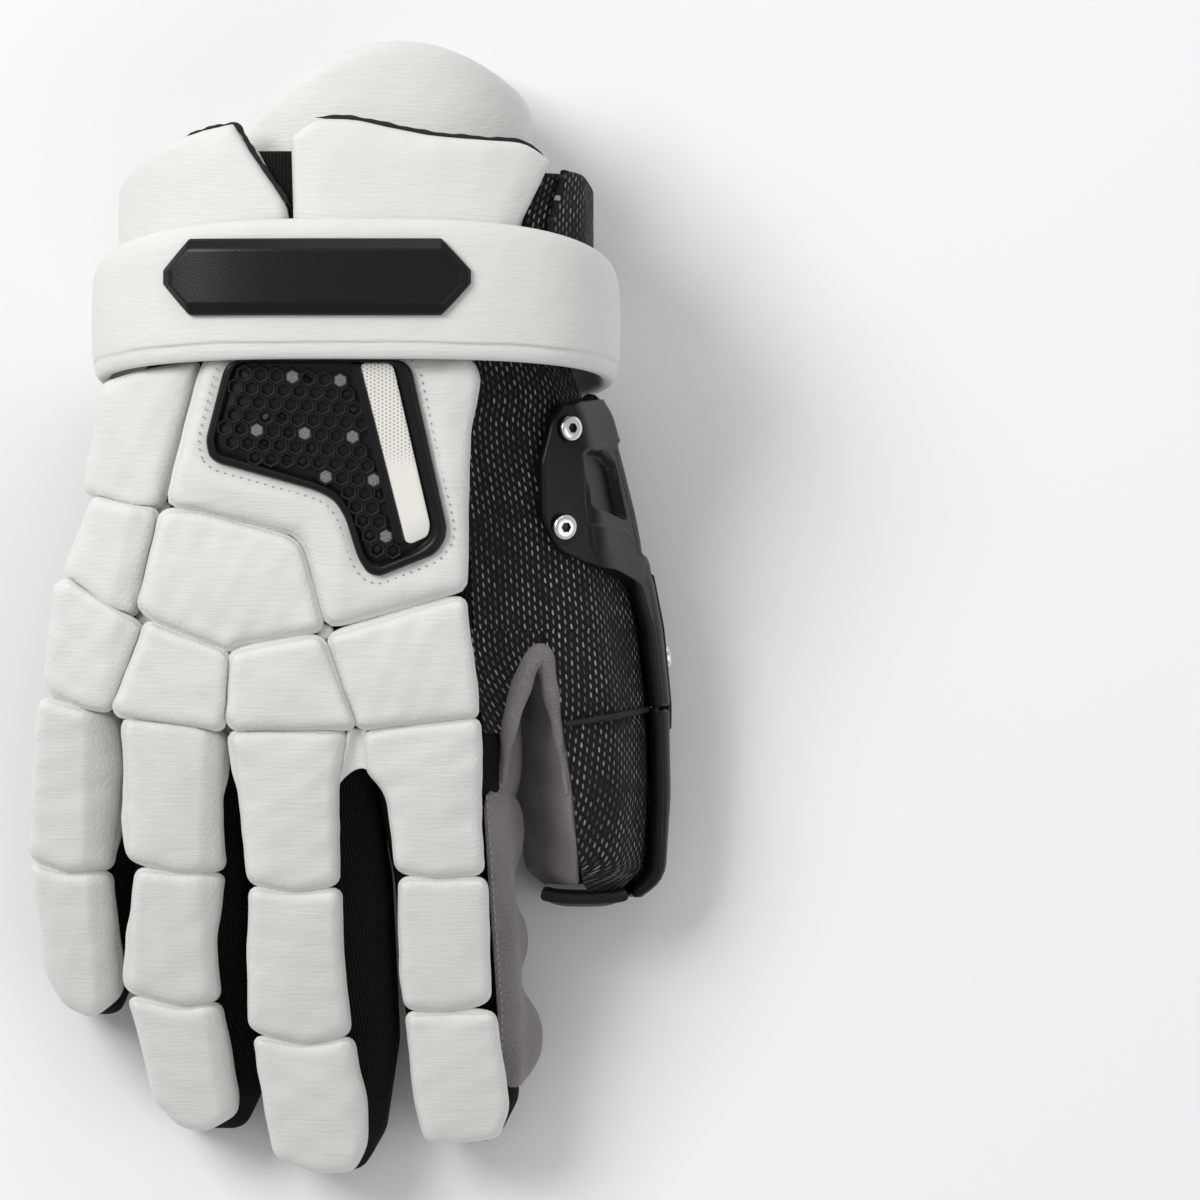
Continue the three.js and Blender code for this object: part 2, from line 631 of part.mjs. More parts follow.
// A flat plate that lies on the pad's top, with an optional hole.
function plateOnPad(outline, hole, lift, thickness) {
  const shape = new THREE.Shape(outline.map(([x, y]) => new THREE.Vector2(x, y)));
  if (hole) shape.holes.push(new THREE.Path(hole.map(([x, y]) => new THREE.Vector2(x, y))));
  const geometry = new THREE.ExtrudeGeometry(shape, { depth: thickness, bevelEnabled: false });
  const position = geometry.attributes.position;
  for (let i = 0; i < position.count; i += 1) {
    const x = position.getX(i);
    const y = position.getY(i);
    position.setZ(i, position.getZ(i) + ventTop(x, y) + lift);
  }
  geometry.deleteAttribute('uv');
  geometry.deleteAttribute('normal');
  return geometry;
}

addPiece('vent_frame', plateOnPad(VENT_OUTER, VENT_INNER, 0.4, 3), COLOURS.plastic, 0.5);
addPiece('vent_grille', plateOnPad(GRILLE, null, 0.4, 1.4), COLOURS.plastic, 0.6);
addPiece('vent_strip', plateOnPad(STRIP, null, 0.4, 1.8), COLOURS.cream, 0.6);

// Cuff

// A point on the cuff's closed section. The angle is 0 on the back of the hand and
// grows towards the little finger; `inset` is measured inwards. The palm side is flat.
function cuffPoint(degrees, y, inset) {
  const angle = radians(degrees);
  const sine = Math.sin(angle);
  const cosine = Math.cos(angle);
  const power = cosine >= 0 ? 2 / 3 : 2 / 4;
  const halfWidth = CUFF.halfWidth - inset;
  const halfHeight = CUFF.halfHeight - inset;
  const x = CUFF.x - halfWidth * Math.sign(sine) * Math.abs(sine) ** power;
  const flat = cosine < -0.86;
  const rise = flat ? -1 : Math.sign(cosine) * Math.abs(cosine) ** power;
  return new THREE.Vector3(x, y, CUFF.z + halfHeight * rise);
}

function wristStrap() {
  const angles = [];
  for (let a = 0; a < 360; a += 10) angles.push(a);
  const rings = angles.map((a) => {
    const share = (1 - Math.cos(radians(a))) / 2;
    const middle = STRAP_DORSAL_Y - STRAP_SLANT * share;
    const half = lerp(STRAP_WIDTH_DORSAL, STRAP_WIDTH_PALMAR, Math.min(1, share * 1.4)) / 2;
    const bevel = share > 0.93 ? 0 : 1.8;
    return [
      cuffPoint(a, middle - half, STRAP_THICKNESS),
      cuffPoint(a, middle - half, bevel),
      cuffPoint(a, middle - half + 3, 0),
      cuffPoint(a, middle + half - 3, 0),
      cuffPoint(a, middle + half, bevel),
      cuffPoint(a, middle + half, STRAP_THICKNESS),
    ];
  });
  return closedLoop(rings);
}

// Joins equal sections in a closed loop, the last one to the first.
function closedLoop(sections) {
  const count = sections[0].length;
  const total = sections.length;
  const position = sections.flatMap((section) => section.flatMap((p) => p.toArray()));
  let index = [];
  for (let s = 0; s < total; s += 1) {
    for (let i = 0; i < count; i += 1) {
      const a = s * count + i;
      const b = s * count + ((i + 1) % count);
      const c = ((s + 1) % total) * count + ((i + 1) % count);
      const d = ((s + 1) % total) * count + i;
      index.push(a, b, c, a, c, d);
    }
  }
  if (signedVolume(position, index) < 0) {
    index = index.map((_, i) => index[i - (i % 3) + [0, 2, 1][i % 3]]);
  }
  const geometry = new THREE.BufferGeometry();
  geometry.setAttribute('position', new THREE.Float32BufferAttribute(position, 3));
  geometry.setIndex(index);
  return geometry;
}

addPiece('wrist_strap', wristStrap(), COLOURS.fabric, 0.8);

// A plain lozenge-shaped badge on the strap's back.
const BADGE_COLUMNS = [
  { angle: 36, half: 2 },
  { angle: 28, half: 12 },
  { angle: 18, half: 12 },
  { angle: 6, half: 12 },
  { angle: -4, half: 12 },
  { angle: -11, half: 12 },
  { angle: -17, half: 2 },
];

function strapBadge() {
  const middle = STRAP_DORSAL_Y + 3.5;
  const grid = [-1, 0, 1].map((side) =>
    BADGE_COLUMNS.map(({ angle, half }) => cuffPoint(angle, middle + side * half, 0)));
  const away = (p) => new THREE.Vector3(p.x, p.y, 500);
  return gridSheet(grid, 3, { towards: away, lift: 1 });
}

addPiece('strap_badge', strapBadge(), COLOURS.plastic, 0.4);

// Columns of a cuff panel: the angle at the strap, the angle at the free end and how
// far along y that end lies.
const OUTER_WING = [
  { from: 8.2, to: 21, end: 153 },
  { from: 20, to: 29, end: 151.5 },
  { from: 33, to: 38, end: 149 },
  { from: 47, to: 50, end: 146 },
  { from: 62, to: 63, end: 141 },
  { from: 80, to: 80, end: 136 },
  { from: 98, to: 98, end: 128 },
  { from: 112, to: 112, end: 118 },
];
const INNER_WING = [
  { from: -36, to: -50, end: 142 },
  { from: -30, to: -39, end: 147.5 },
  { from: -21, to: -25, end: 148 },
  { from: -10, to: -11, end: 149.5 },
  { from: 0, to: 0, end: 154.5 },
  { from: 7.2, to: 7.6, end: 155 },
];
const MESH_FLAP = [
  { from: -150, to: -148, end: 113 },
  { from: -138, to: -138, end: 122 },
  { from: -122, to: -122, end: 127 },
  { from: -104, to: -104, end: 130 },
  { from: -86, to: -86, end: 134 },
  { from: -70, to: -70, end: 138 },
  { from: -48, to: -57, end: 139 },
];

function cuffPanel(columns, inset, thickness, start = CUFF_START_Y) {
  const shares = [0, 0.3, 0.62, 1];
  const grid = shares.map((share) =>
    columns.map(({ from, to, end }) => {
      const turn = Math.max(0, (share - 0.62) / 0.38);
      return cuffPoint(lerp(from, to, turn), lerp(start, end, share), inset);
    }));
  const rim = (moved, base, r) => {
    if (r === 0 || r === shares.length - 1) moved.y = base.y;
  };
  return gridSheet(grid, thickness, { towards: intoCuff, rim });
}

const intoCuff = (p) => new THREE.Vector3(CUFF.x, p.y, CUFF.z);
const WING_INSET = STRAP_THICKNESS + 0.6;
addPiece('outer_cuff_pad', cuffPanel(OUTER_WING, WING_INSET, WING_THICKNESS), COLOURS.fabric, 0.8);
addPiece('inner_cuff_pad', cuffPanel(INNER_WING, WING_INSET, WING_THICKNESS), COLOURS.fabric, 0.8);
addPiece('cuff_mesh_flap', cuffPanel(MESH_FLAP, WING_INSET, FLAP_THICKNESS), COLOURS.mesh, 0.9);

// The black cloth at the bottom of the notch between the two cuff pads.
function cuffGusset() {
  const rows = [
    { y: 130, from: 8.3, to: 9.4 },
    { y: 141, from: 8.4, to: 13 },
    { y: 151, from: 8.5, to: 17.5 },
  ];
  const grid = rows.map(({ y, from, to }) =>
    [from, (from + to) / 2, to].map((a) => cuffPoint(a, y, WING_INSET + 5)));
  return gridSheet(grid, CLOTH_WALL, { towards: intoCuff });
}

addPiece('cuff_gusset', cuffGusset(), COLOURS.black, 0.9);

// Wrist guard

// The guard's free end is arched, highest over the middle of the wrist.
function guardRing(y, inset, arch) {
  const points = [];
  const count = 28;
  for (let i = 0; i < count; i += 1) {
    const a = (2 * Math.PI * i) / count;
    const u = Math.sin(a);
    const w = Math.cos(a);
    const x = GUARD.x + (GUARD.halfWidth - inset) * Math.sign(u) * Math.abs(u) ** 0.85;
    const z = GUARD.z + (GUARD.halfHeight - inset) * Math.sign(w) * Math.abs(w) ** 0.85;
    const offset = (x - GUARD.x - 11) / GUARD.halfWidth;
    points.push(new THREE.Vector3(x, y - arch * offset * offset, z));
  }
  return points;
}

function guardTube(outer, inner, end) {
  const start = CUFF_START_Y;
  const rings = [
    guardRing(start, inner, 0),
    guardRing(start, outer, 0),
    guardRing(128, outer, 0),
    guardRing(end - 3, outer, 30),
    guardRing(end, outer + 1.2, 30),
    guardRing(end, inner - 1.2, 30),
    guardRing(end - 3, inner, 30),
    guardRing(128, inner, 0),
  ];
  const sections = rings[0].map((_, i) => rings.map((ring) => ring[i]));
  return closedLoop(sections);
}

addPiece('wrist_guard', guardTube(0, GUARD.wall, 180), COLOURS.fabric, 0.8);
const liningStart = GUARD.wall + SEWN_GAP;
addPiece('wrist_guard_lining', guardTube(liningStart, liningStart + 4.4, 178.5), COLOURS.black, 0.9);

// Thumb

const thumbStations = [-6, -30, -58, -82, -88];

function thumbMesh() {
  const grid = thumbStations.map((y) => {
    const row = rowAt(THUMB_ROWS, 'y', y);
    return [
      [row.ridgeX, row.ridgeZ],
      [row.topX, row.topZ],
      [row.sideX, row.sideZ],
      [row.heelX, row.heelZ + 0.2],
    ].map(([x, z]) => new THREE.Vector3(x, y, z));
  });
  const rim = (moved, base, r, c) => {
    if (r === 0 || r === grid.length - 1) moved.y = base.y;
    if (c === 3) moved.z = base.z;
    if (c === 0) moved.x = base.x;
  };
  return gridSheet(grid, CLOTH_WALL, { towards: intoThumb, rim });
}

// The suede web: down the thumb's inner face and round the crotch to the index finger.
// `top` is the rolled rim and `foot` the lower edge.
const WEB_COLUMNS = [
  { topX: 49.5, topY: -36, topZ: 69, footX: 46.5, footY: -37, footZ: 37 },
  { topX: 52.5, topY: -26, topZ: 69, footX: 47.5, footY: -30, footZ: 26 },
  { topX: 56.5, topY: -17, topZ: 68, footX: 49.5, footY: -24, footZ: 18 },
  { topX: 60, topY: -13.5, topZ: 66, footX: 51.5, footY: -23, footZ: 11 },
  { topX: 61.8, topY: -20, topZ: 63.5, footX: 51, footY: -30, footZ: 8 },
  { topX: 64, topY: -30, topZ: 62, footX: 50.5, footY: -44, footZ: 7 },
  { topX: 68.2, topY: -58, topZ: 57, footX: 50.5, footY: -62, footZ: 6.6 },
  { topX: 70.2, topY: -82, topZ: 49, footX: 54, footY: -82, footZ: 8 },
  { topX: 71, topY: -87, topZ: 39, footX: 61, footY: -87.5, footZ: 17 },
];

function thumbWeb() {
  const shares = [0, 0.33, 0.67, 1];
  const grid = shares.map((t) =>
    WEB_COLUMNS.map((c) => new THREE.Vector3(
      lerp(c.topX, c.footX, t) - 3 * Math.sin(Math.PI * t),
      lerp(c.topY, c.footY, t),
      lerp(c.topZ, c.footZ, t),
    )));
  const intoCrotch = () => new THREE.Vector3(57, -60, 30);
  return gridSheet(grid, CLOTH_WALL, { towards: intoCrotch });
}

function thumbPalm() {
  const rows = [
    { y: -5.8, left: 55, right: 83.2, z: 5 },
    { y: -30, left: 53, right: 85.2, z: 5 },
    { y: -58, left: 53, right: 85.2, z: 5 },
    { y: -82, left: 56.5, right: 83, z: 6 },
    { y: -87.6, left: 63, right: 78.5, z: 15.8 },
  ];
  const grid = rows.map(({ y, left, right, z }) =>
    [right, (left + right) / 2, left].map((x) => new THREE.Vector3(x, y, z - 0.4)));
  const rim = (moved, base, r) => {
    if (r === 0 || r === rows.length - 1) moved.y = base.y;
  };
  return gridSheet(grid, CLOTH_WALL, { towards: intoThumb, rim });
}

addPiece('thumb_mesh_back', thumbMesh(), COLOURS.mesh, 0.9);
addPiece('thumb_web', thumbWeb(), COLOURS.suede, 0.95);
addPiece('thumb_palm', thumbPalm(), COLOURS.suede, 0.95);

// Thumb guard

// A point on the thumb's outer side: 0 is the ridge, 1 the top, 2 the widest point and
// 3 the heel.
const RADIAL_COLUMNS = ['ridge', 'top', 'side', 'heel'];

function radialPoint(y, across) {
  const row = rowAt(THUMB_ROWS, 'y', y);
  const i = Math.min(2, Math.floor(across));
  const from = RADIAL_COLUMNS[i];
  const to = RADIAL_COLUMNS[i + 1];
  const t = across - i;
  return new THREE.Vector3(
    lerp(row[`${from}X`], row[`${to}X`], t), y, lerp(row[`${from}Z`], row[`${to}Z`], t));
}

const outwards = (p) => new THREE.Vector3(300, p.y, 60);

// A plate over the thumb's side. Each row says between which two places it lies there;
// its columns keep to the folds of the cloth below.
function thumbPlate(rows, columns, thickness, lift, open) {
  const count = columns.length;
  const grid = rows.map(({ y, from, to }) =>
    columns.map((column, c) => {
      const low = from + 0.03 * c;
      const high = to - 0.03 * (count - 1 - c);
      return radialPoint(y, Math.min(high, Math.max(low, column)));
    }));
  const rim = (moved, base, r) => {
    if (r === 0 || r === rows.length - 1) moved.y = base.y;
  };
  return gridSheet(grid, thickness, { towards: outwards, lift, open, rim });
}

const BASE_ROWS = [
  { y: 66, from: 0.8, to: 2.15 },
  { y: 61, from: 0.42, to: 2.8 },
  { y: 48, from: 0.08, to: 2.97 },
  { y: 30, from: 0.05, to: 2.97 },
  { y: 20, from: 0.3, to: 2.9 },
  { y: 15, from: 0.94, to: 2.88 },
  { y: 9, from: 1.75, to: 2.85 },
  { y: -6, from: 1.88, to: 2.95 },
  { y: -29.6, from: 1.88, to: 2.95 },
];
const TIP_ROWS = [
  { y: -31.2, from: 1.88, to: 2.97 },
  { y: -58, from: 1.88, to: 2.97 },
  { y: -72, from: 1.9, to: 2.97 },
  { y: -82, from: 1.94, to: 2.95 },
  { y: -87.6, from: 1.97, to: 2.9 },
];
const TONGUE_ROWS = [
  { y: 11, from: 2.28, to: 2.58 },
  { y: -6, from: 2.26, to: 2.6 },
  { y: -30, from: 2.26, to: 2.6 },
  { y: -38, from: 2.3, to: 2.58 },
];
const PLATE_LIFT = 0.95;
const windowCell = (r, c) => r === 2 && c === 2;

const basePlate = thumbPlate(BASE_ROWS, [0, 0.5, 1, 1.5, 2, 2.5, 3], GUARD_PLATE, PLATE_LIFT, windowCell);
const tipPlate = thumbPlate(TIP_ROWS, [1.88, 2, 2.35, 2.7, 3], GUARD_PLATE, PLATE_LIFT);
const tongueLift = PLATE_LIFT + GUARD_PLATE + 0.5;
const tonguePlate = thumbPlate(TONGUE_ROWS, [2.26, 2.43, 2.6], TONGUE_PLATE, tongueLift);
addPiece('thumb_guard_base', basePlate, COLOURS.plastic, 0.4);
addPiece('thumb_guard_tip', tipPlate, COLOURS.plastic, 0.4);
addPiece('thumb_guard_tongue', tonguePlate, COLOURS.plastic, 0.4);

// The clip's band passes under the thumb and is the lowest part of the guard.
function clipBand() {
  const profile = [[60, 0], [86, 0], [89.2, 2.2], [89.2, 4], [60, 4]];
  const shape = new THREE.Shape(profile.map(([x, z]) => new THREE.Vector2(x, z)));
  const geometry = new THREE.ExtrudeGeometry(shape, { depth: 26, bevelEnabled: false });
  geometry.rotateX(Math.PI / 2);
  geometry.translate(0, -26, 0);
  geometry.deleteAttribute('uv');
  geometry.deleteAttribute('normal');
  return geometry;
}

addPiece('thumb_guard_clip', clipBand(), COLOURS.plastic, 0.4);

// The bumper across the thumb's tip.
function endCap() {
  const plan = [[62, -89.4], [67, -90.2], [80, -90.2], [83, -89.4]];
  const grid = [5, 14, 28, 38].map((z, r) =>
    plan.map(([x, y]) => new THREE.Vector3(x, y + (r === 0 || r === 3 ? 0.8 : 0), z)));
  const away = (p) => new THREE.Vector3(p.x, -500, p.z);
  return gridSheet(grid, 4, { towards: away });
}

addPiece('thumb_end_cap', endCap(), COLOURS.plastic, 0.4);

const SCREWS = [
  { name: 'screw_tip_end', y: -75.5, across: 2.6, on: 'plate' },
  { name: 'screw_tip_middle', y: -57.6, across: 2.5, on: 'plate' },
  { name: 'screw_tongue', y: -15, across: 2.43, on: 'tongue' },
  { name: 'screw_base_heel', y: 42, across: 2.68, on: 'plate' },
  { name: 'screw_base_corner', y: 27.5, across: 0.42, on: 'plate' },
  { name: 'screw_base_cuff', y: 58, across: 0.75, on: 'plate' },
];

// Frame of a round piece that lies on a surface: its own axis along the normal.
function seated(geometry, origin, normal) {
  const turn = new THREE.Quaternion().setFromUnitVectors(new THREE.Vector3(0, 0, 1), normal);
  geometry.applyQuaternion(turn);
  geometry.translate(origin.x, origin.y, origin.z);
  return geometry;
}

function roundRing(radius, z, count = 10) {
  return Array.from({ length: count }, (_, i) => {
    const a = (2 * Math.PI * i) / count;
    return new THREE.Vector3(radius * Math.cos(a), radius * Math.sin(a), z);
  });
}

function screwSolid({ y, across, on }) {
  const { radius, height, recess, recessDepth } = SCREW;
  const geometry = stackedRings([
    roundRing(radius, 0),
    roundRing(radius, height * 0.6),
    roundRing(radius * 0.82, height),
    roundRing(recess, height),
    roundRing(recess * 0.9, height - recessDepth),
  ]);
  const origin = radialPoint(y, across);
  const alongY = radialPoint(y + 1, across).sub(radialPoint(y - 1, across));
  const around = radialPoint(y, across + 0.05).sub(radialPoint(y, across - 0.05));
  const normal = alongY.cross(around).normalize();
  if (normal.x < 0) normal.negate();
  const plateTop = PLATE_LIFT + GUARD_PLATE;
  const lift = on === 'tongue' ? tongueLift + TONGUE_PLATE + 0.4 : plateTop + 0.45;
  return seated(geometry, origin.addScaledVector(normal, lift), normal);
}

for (const screw of SCREWS) addPiece(screw.name, screwSolid(screw), COLOURS.metal, 0.3, 0.9);

// Lace

const GROMMET = { angle: -136, y: 109, bore: 2.6, rim: 6.4, height: 1.5 };
const LACE_RADIUS = 1.6;

function grommetFrame() {
  const at = cuffPoint(GROMMET.angle, GROMMET.y, WING_INSET);
  const before = cuffPoint(GROMMET.angle - 3, GROMMET.y, WING_INSET);
  const after = cuffPoint(GROMMET.angle + 3, GROMMET.y, WING_INSET);
  const around = after.sub(before);
  const normal = new THREE.Vector3(-around.z, 0, around.x).normalize();
  if (normal.z > 0) normal.negate();
  return { at, normal };
}

function grommetRing() {
  const { at, normal } = grommetFrame();
  const count = 14;
  const sections = Array.from({ length: count }, (_, i) => {
    const a = (2 * Math.PI * i) / count;
    const point = (radius, z) => new THREE.Vector3(radius * Math.cos(a), radius * Math.sin(a), z);
    const { bore, rim, height } = GROMMET;
    const foot = [point(bore, 0), point(rim, 0), point(rim, height * 0.5)];
    return [...foot, point(rim - 1.2, height), point(bore, height)];
  });
  return seated(closedLoop(sections), at.clone().addScaledVector(normal, 1.2), normal);
}

addPiece('flap_grommet', grommetRing(), COLOURS.plastic, 0.4);

// The free end of the closing lace: out of the grommet, down and along the floor.
function lace() {
  const { at, normal } = grommetFrame();
  const out = (distance) => at.clone().addScaledVector(normal, distance);
  const rest = [[75, 116, 2.2], [73, 123, 1.8], [66, 127, 1.8], [57, 126, 1.8], [49, 121, 1.8],
    [42, 119, 1.8]];
  const lastOut = out(7);
  const fall = new THREE.Vector3(lastOut.x + 2.5, lastOut.y + 3, lastOut.z - 4);
  const route = [out(1.4), out(4), lastOut, fall, ...rest.map((p) => new THREE.Vector3(...p))];
  const path = new THREE.CatmullRomCurve3(route, false, 'centripetal');
  const section = new THREE.Shape(Array.from({ length: 8 }, (_, i) => {
    const a = (2 * Math.PI * i) / 8;
    return new THREE.Vector2(LACE_RADIUS * Math.cos(a), LACE_RADIUS * Math.sin(a));
  }));
  const geometry = new THREE.ExtrudeGeometry(section, { steps: 20, extrudePath: path });
  geometry.deleteAttribute('uv');
  geometry.deleteAttribute('normal');
  return geometry;
}

addPiece('lace', lace(), COLOURS.black, 0.9);

export default glove;
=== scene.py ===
"""Looks of a right-hand goalkeeper's glove for field lacrosse, lying palm down.

Tables and shapes are in the drawing's millimetres: +X is the thumb side, +Y runs from the
fingers to the cuff and +Z is up from the palm. `to_frame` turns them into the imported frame.
"""

from __future__ import annotations

import logging
import math
from collections.abc import Sequence
from dataclasses import dataclass, field
from enum import Enum

import bmesh
import bpy
import numpy as np
from mathutils.kdtree import KDTree
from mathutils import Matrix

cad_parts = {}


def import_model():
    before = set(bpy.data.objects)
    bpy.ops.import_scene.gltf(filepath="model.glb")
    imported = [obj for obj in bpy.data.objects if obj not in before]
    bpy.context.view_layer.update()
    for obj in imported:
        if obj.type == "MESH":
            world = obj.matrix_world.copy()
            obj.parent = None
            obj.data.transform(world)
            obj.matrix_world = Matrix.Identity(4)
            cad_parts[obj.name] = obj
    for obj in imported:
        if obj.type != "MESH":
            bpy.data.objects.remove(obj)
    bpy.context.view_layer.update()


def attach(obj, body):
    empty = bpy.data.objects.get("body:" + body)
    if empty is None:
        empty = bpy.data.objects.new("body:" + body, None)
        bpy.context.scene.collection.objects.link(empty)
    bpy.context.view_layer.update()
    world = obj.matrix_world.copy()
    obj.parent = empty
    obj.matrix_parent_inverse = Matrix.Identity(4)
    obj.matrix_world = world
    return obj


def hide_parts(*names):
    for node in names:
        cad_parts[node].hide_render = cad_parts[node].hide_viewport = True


LOG = logging.getLogger("glove")

MM = 0.001
SHIFT = np.array([0.12, -0.65, 0.0])
FINGER_PAD = 18.0
BACK_PAD = 20.0
PAD_CORNER = 3.2
CLOTH = 2.3
WEAVE_MAP = "Fabric"

Array = np.ndarray
Table = Sequence[Sequence[float]]
Material = bpy.types.Material
Socket = bpy.types.NodeSocket


class Slot(Enum):
    """Names of material slots."""

    FABRIC = "white_fabric"
    CLOTH = "black_cloth"
    MESH = "mesh_cloth"
    SUEDE = "grey_suede"
    PLASTIC = "black_plastic"
    CREAM = "cream_strip"
    METAL = "screw_metal"


class Grain(Enum):
    """What a moulded plastic face carries inside its inlaid areas."""

    PLAIN = 0
    SCALES = 1


def to_frame(points: Array) -> Array:
    """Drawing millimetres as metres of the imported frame."""
    return (np.asarray(points, float) + SHIFT) * MM


def lerp(a: Array | float, b: Array | float, t: Array | float) -> Array | float:
    """The value at share t between a and b."""
    return a + (b - a) * t


def ease(low: float, high: float, value: Array | float) -> Array:
    """Rises smoothly from 0 at low to 1 at high."""
    t = np.clip((np.asarray(value, float) - low) / (high - low), 0, 1)
    return t * t * (3 - 2 * t)


def row_at(table: Array, value: float) -> Array:
    """Reads every column of a table between its rows.

    Args:
        table: Rows of numbers, sorted either way along the first column.
        value: Where to read, in the first column.

    Returns:
        One interpolated row.
    """
    ordered = table if table[0, 0] < table[-1, 0] else table[::-1]
    return np.array([np.interp(value, ordered[:, 0], column) for column in ordered.T])


# Shapes


@dataclass
class Surface:
    """Points, faces and cloth coordinates of one piece, in drawing millimetres."""

    points: Array
    faces: list[tuple[int, ...]]
    weave: Array | None = None
    values: dict[str, Array] = field(default_factory=dict)
    weld: bool = False


def linked(name: str, data: bpy.types.ID) -> bpy.types.Object:
    """Makes an object of a mesh, a light or a camera, and links it to the scene.

    Args:
        name: Its name.
        data: What it shows.

    Returns:
        The object.
    """
    made = bpy.data.objects.new(name, data)
    bpy.context.scene.collection.objects.link(made)
    return made


def frozen(source: bpy.types.Object) -> bpy.types.Mesh:
    """A new mesh with an object's modifiers applied.

    Args:
        source: The object.

    Returns:
        The mesh.
    """
    bpy.context.view_layer.update()
    seen = source.evaluated_get(bpy.context.evaluated_depsgraph_get())
    return bpy.data.meshes.new_from_object(seen)


def make_object(name: str, surface: Surface, finish: Material, crisp: float = 0) -> bpy.types.Object:
    """Makes a mesh object with its place in its mesh.

    Args:
        name: The piece's name.
        surface: Its shape.
        finish: Its material.
        crisp: Angle in degrees past which an edge stays sharp, or 0 for none.

    Returns:
        The new object, linked to the scene.
    """
    mesh = bpy.data.meshes.new(name)
    mesh.from_pydata(to_frame(surface.points).tolist(), [], surface.faces)
    if surface.weave is not None:
        layer = mesh.uv_layers.new(name=WEAVE_MAP)
        corners = np.zeros(len(mesh.loops), np.int32)
        mesh.loops.foreach_get("vertex_index", corners)
        layer.data.foreach_set("uv", (surface.weave[corners] * MM).astype(np.float32).ravel())
    for label, values in surface.values.items():
        attribute = mesh.attributes.new(label, "FLOAT", "POINT")
        attribute.data.foreach_set("value", values.astype(np.float32))
    if surface.weld:
        welded = bmesh.new()
        welded.from_mesh(mesh)
        bmesh.ops.remove_doubles(welded, verts=welded.verts, dist=2e-6)
        bmesh.ops.dissolve_degenerate(welded, edges=welded.edges, dist=1e-7)
        welded.to_mesh(mesh)
        welded.free()
    mesh.shade_smooth()
    if crisp:
        mesh.set_sharp_from_angle(angle=math.radians(crisp))
    mesh.materials.append(finish)
    return linked(name, mesh)


def publish(
    piece: bpy.types.Object, nodes: Sequence[str] = ()
) -> None:
    """Hands a finished piece to the frame.

    Args:
        piece: The finished object.
        nodes: CAD nodes that it stands for.
    """
    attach(piece, "root")
    if nodes:
        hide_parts(*nodes)
    LOG.info("%s: %d faces", piece.name, len(piece.data.polygons))


def show(
    name: str,
    surface: Surface,
    finish: Material,
    nodes: Sequence[str] = (),
    crisp: float = 0,
) -> None:
    """Makes a piece and hands it to the frame, with the arguments of both steps."""
    publish(make_object(name, surface, finish, crisp), nodes)


def smoothed(grid: Array, passes: int, closed: tuple[bool, bool] = (False, False)) -> Array:
    """Rounds the folds of a grid of points, and keeps its open borders in place.

    Args:
        grid: Rows x columns x 3 points.
        passes: How often each point moves towards its neighbours.
        closed: Whether the rows, and the columns, run round.

    Returns:
        The rounded grid.
    """
    grid = grid.copy()
    for _ in range(passes):
        for axis in (0, 1):
            near = np.roll(grid, 1, axis)
            far = np.roll(grid, -1, axis)
            mean = (near + 2 * grid + far) / 4
            if not closed[axis]:
                mean = np.moveaxis(mean, axis, 0)
                kept = np.moveaxis(grid, axis, 0)
                mean[0], mean[-1] = kept[0], kept[-1]
                mean = np.moveaxis(mean, 0, axis)
            grid = mean
    return grid


def sampled(grid: Array, rows: Array, columns: Array) -> Array:
    """Reads a grid of points between its lines, at fractional row and column numbers.

    Args:
        grid: Rows x columns x 3 points.
        rows: Row numbers to read.
        columns: Column numbers to read.

    Returns:
        The points there.
    """
    r0 = np.clip(np.floor(rows).astype(int), 0, grid.shape[0] - 2)
    c0 = np.clip(np.floor(columns).astype(int), 0, grid.shape[1] - 2)
    fr = (rows - r0)[:, None, None]
    fc = (columns - c0)[None, :, None]
    top = lerp(grid[r0][:, c0], grid[r0][:, c0 + 1], fc)
    low = lerp(grid[r0 + 1][:, c0], grid[r0 + 1][:, c0 + 1], fc)
    return lerp(top, low, fr)


def running(grid: Array, axis: int) -> Array:
    """Length along one direction of a grid, from 0 at its first line.

    Args:
        grid: Rows x columns x 3 points.
        axis: 0 down the rows, 1 along the columns.

    Returns:
        A length for each point.
    """
    steps = np.linalg.norm(np.diff(grid, axis=axis), axis=2)
    zero = np.zeros_like(np.take(steps, [0], axis))
    return np.concatenate([zero, np.cumsum(steps, axis)], axis)


def from_border(grid: Array) -> Array:
    """Distance of each point of a grid from the nearest border, along its lines."""
    u, v = running(grid, 1), running(grid, 0)
    return np.minimum(np.minimum(u, u[:, -1:] - u), np.minimum(v, v[-1:] - v))


def stations(grid: Array, axis: int, step: float, rim: float) -> Array:
    """Fractional line numbers about step apart, with more of them inside the rim.

    Args:
        grid: Rows x columns x 3 points.
        axis: The direction whose lines are placed.
        step: Their distance.
        rim: Width of the border.

    Returns:
        The numbers, from the first line to the last.
    """
    along = running(grid, axis).mean(1 - axis)
    total = along[-1]
    rim = min(rim, total / 4)
    edge = rim * np.array([0, 0.12, 0.35, 0.65])
    count = max(2, round((total - 2 * rim) / step) + 1)
    places = np.concatenate([edge, np.linspace(rim, total - rim, count), total - edge[::-1]])
    return np.interp(places, along, np.arange(len(along)))


@dataclass(frozen=True)
class Weft:
    """A dense grid made from a coarse one, and where its lines lie in the coarse one."""

    grid: Array
    rows: Array
    columns: Array


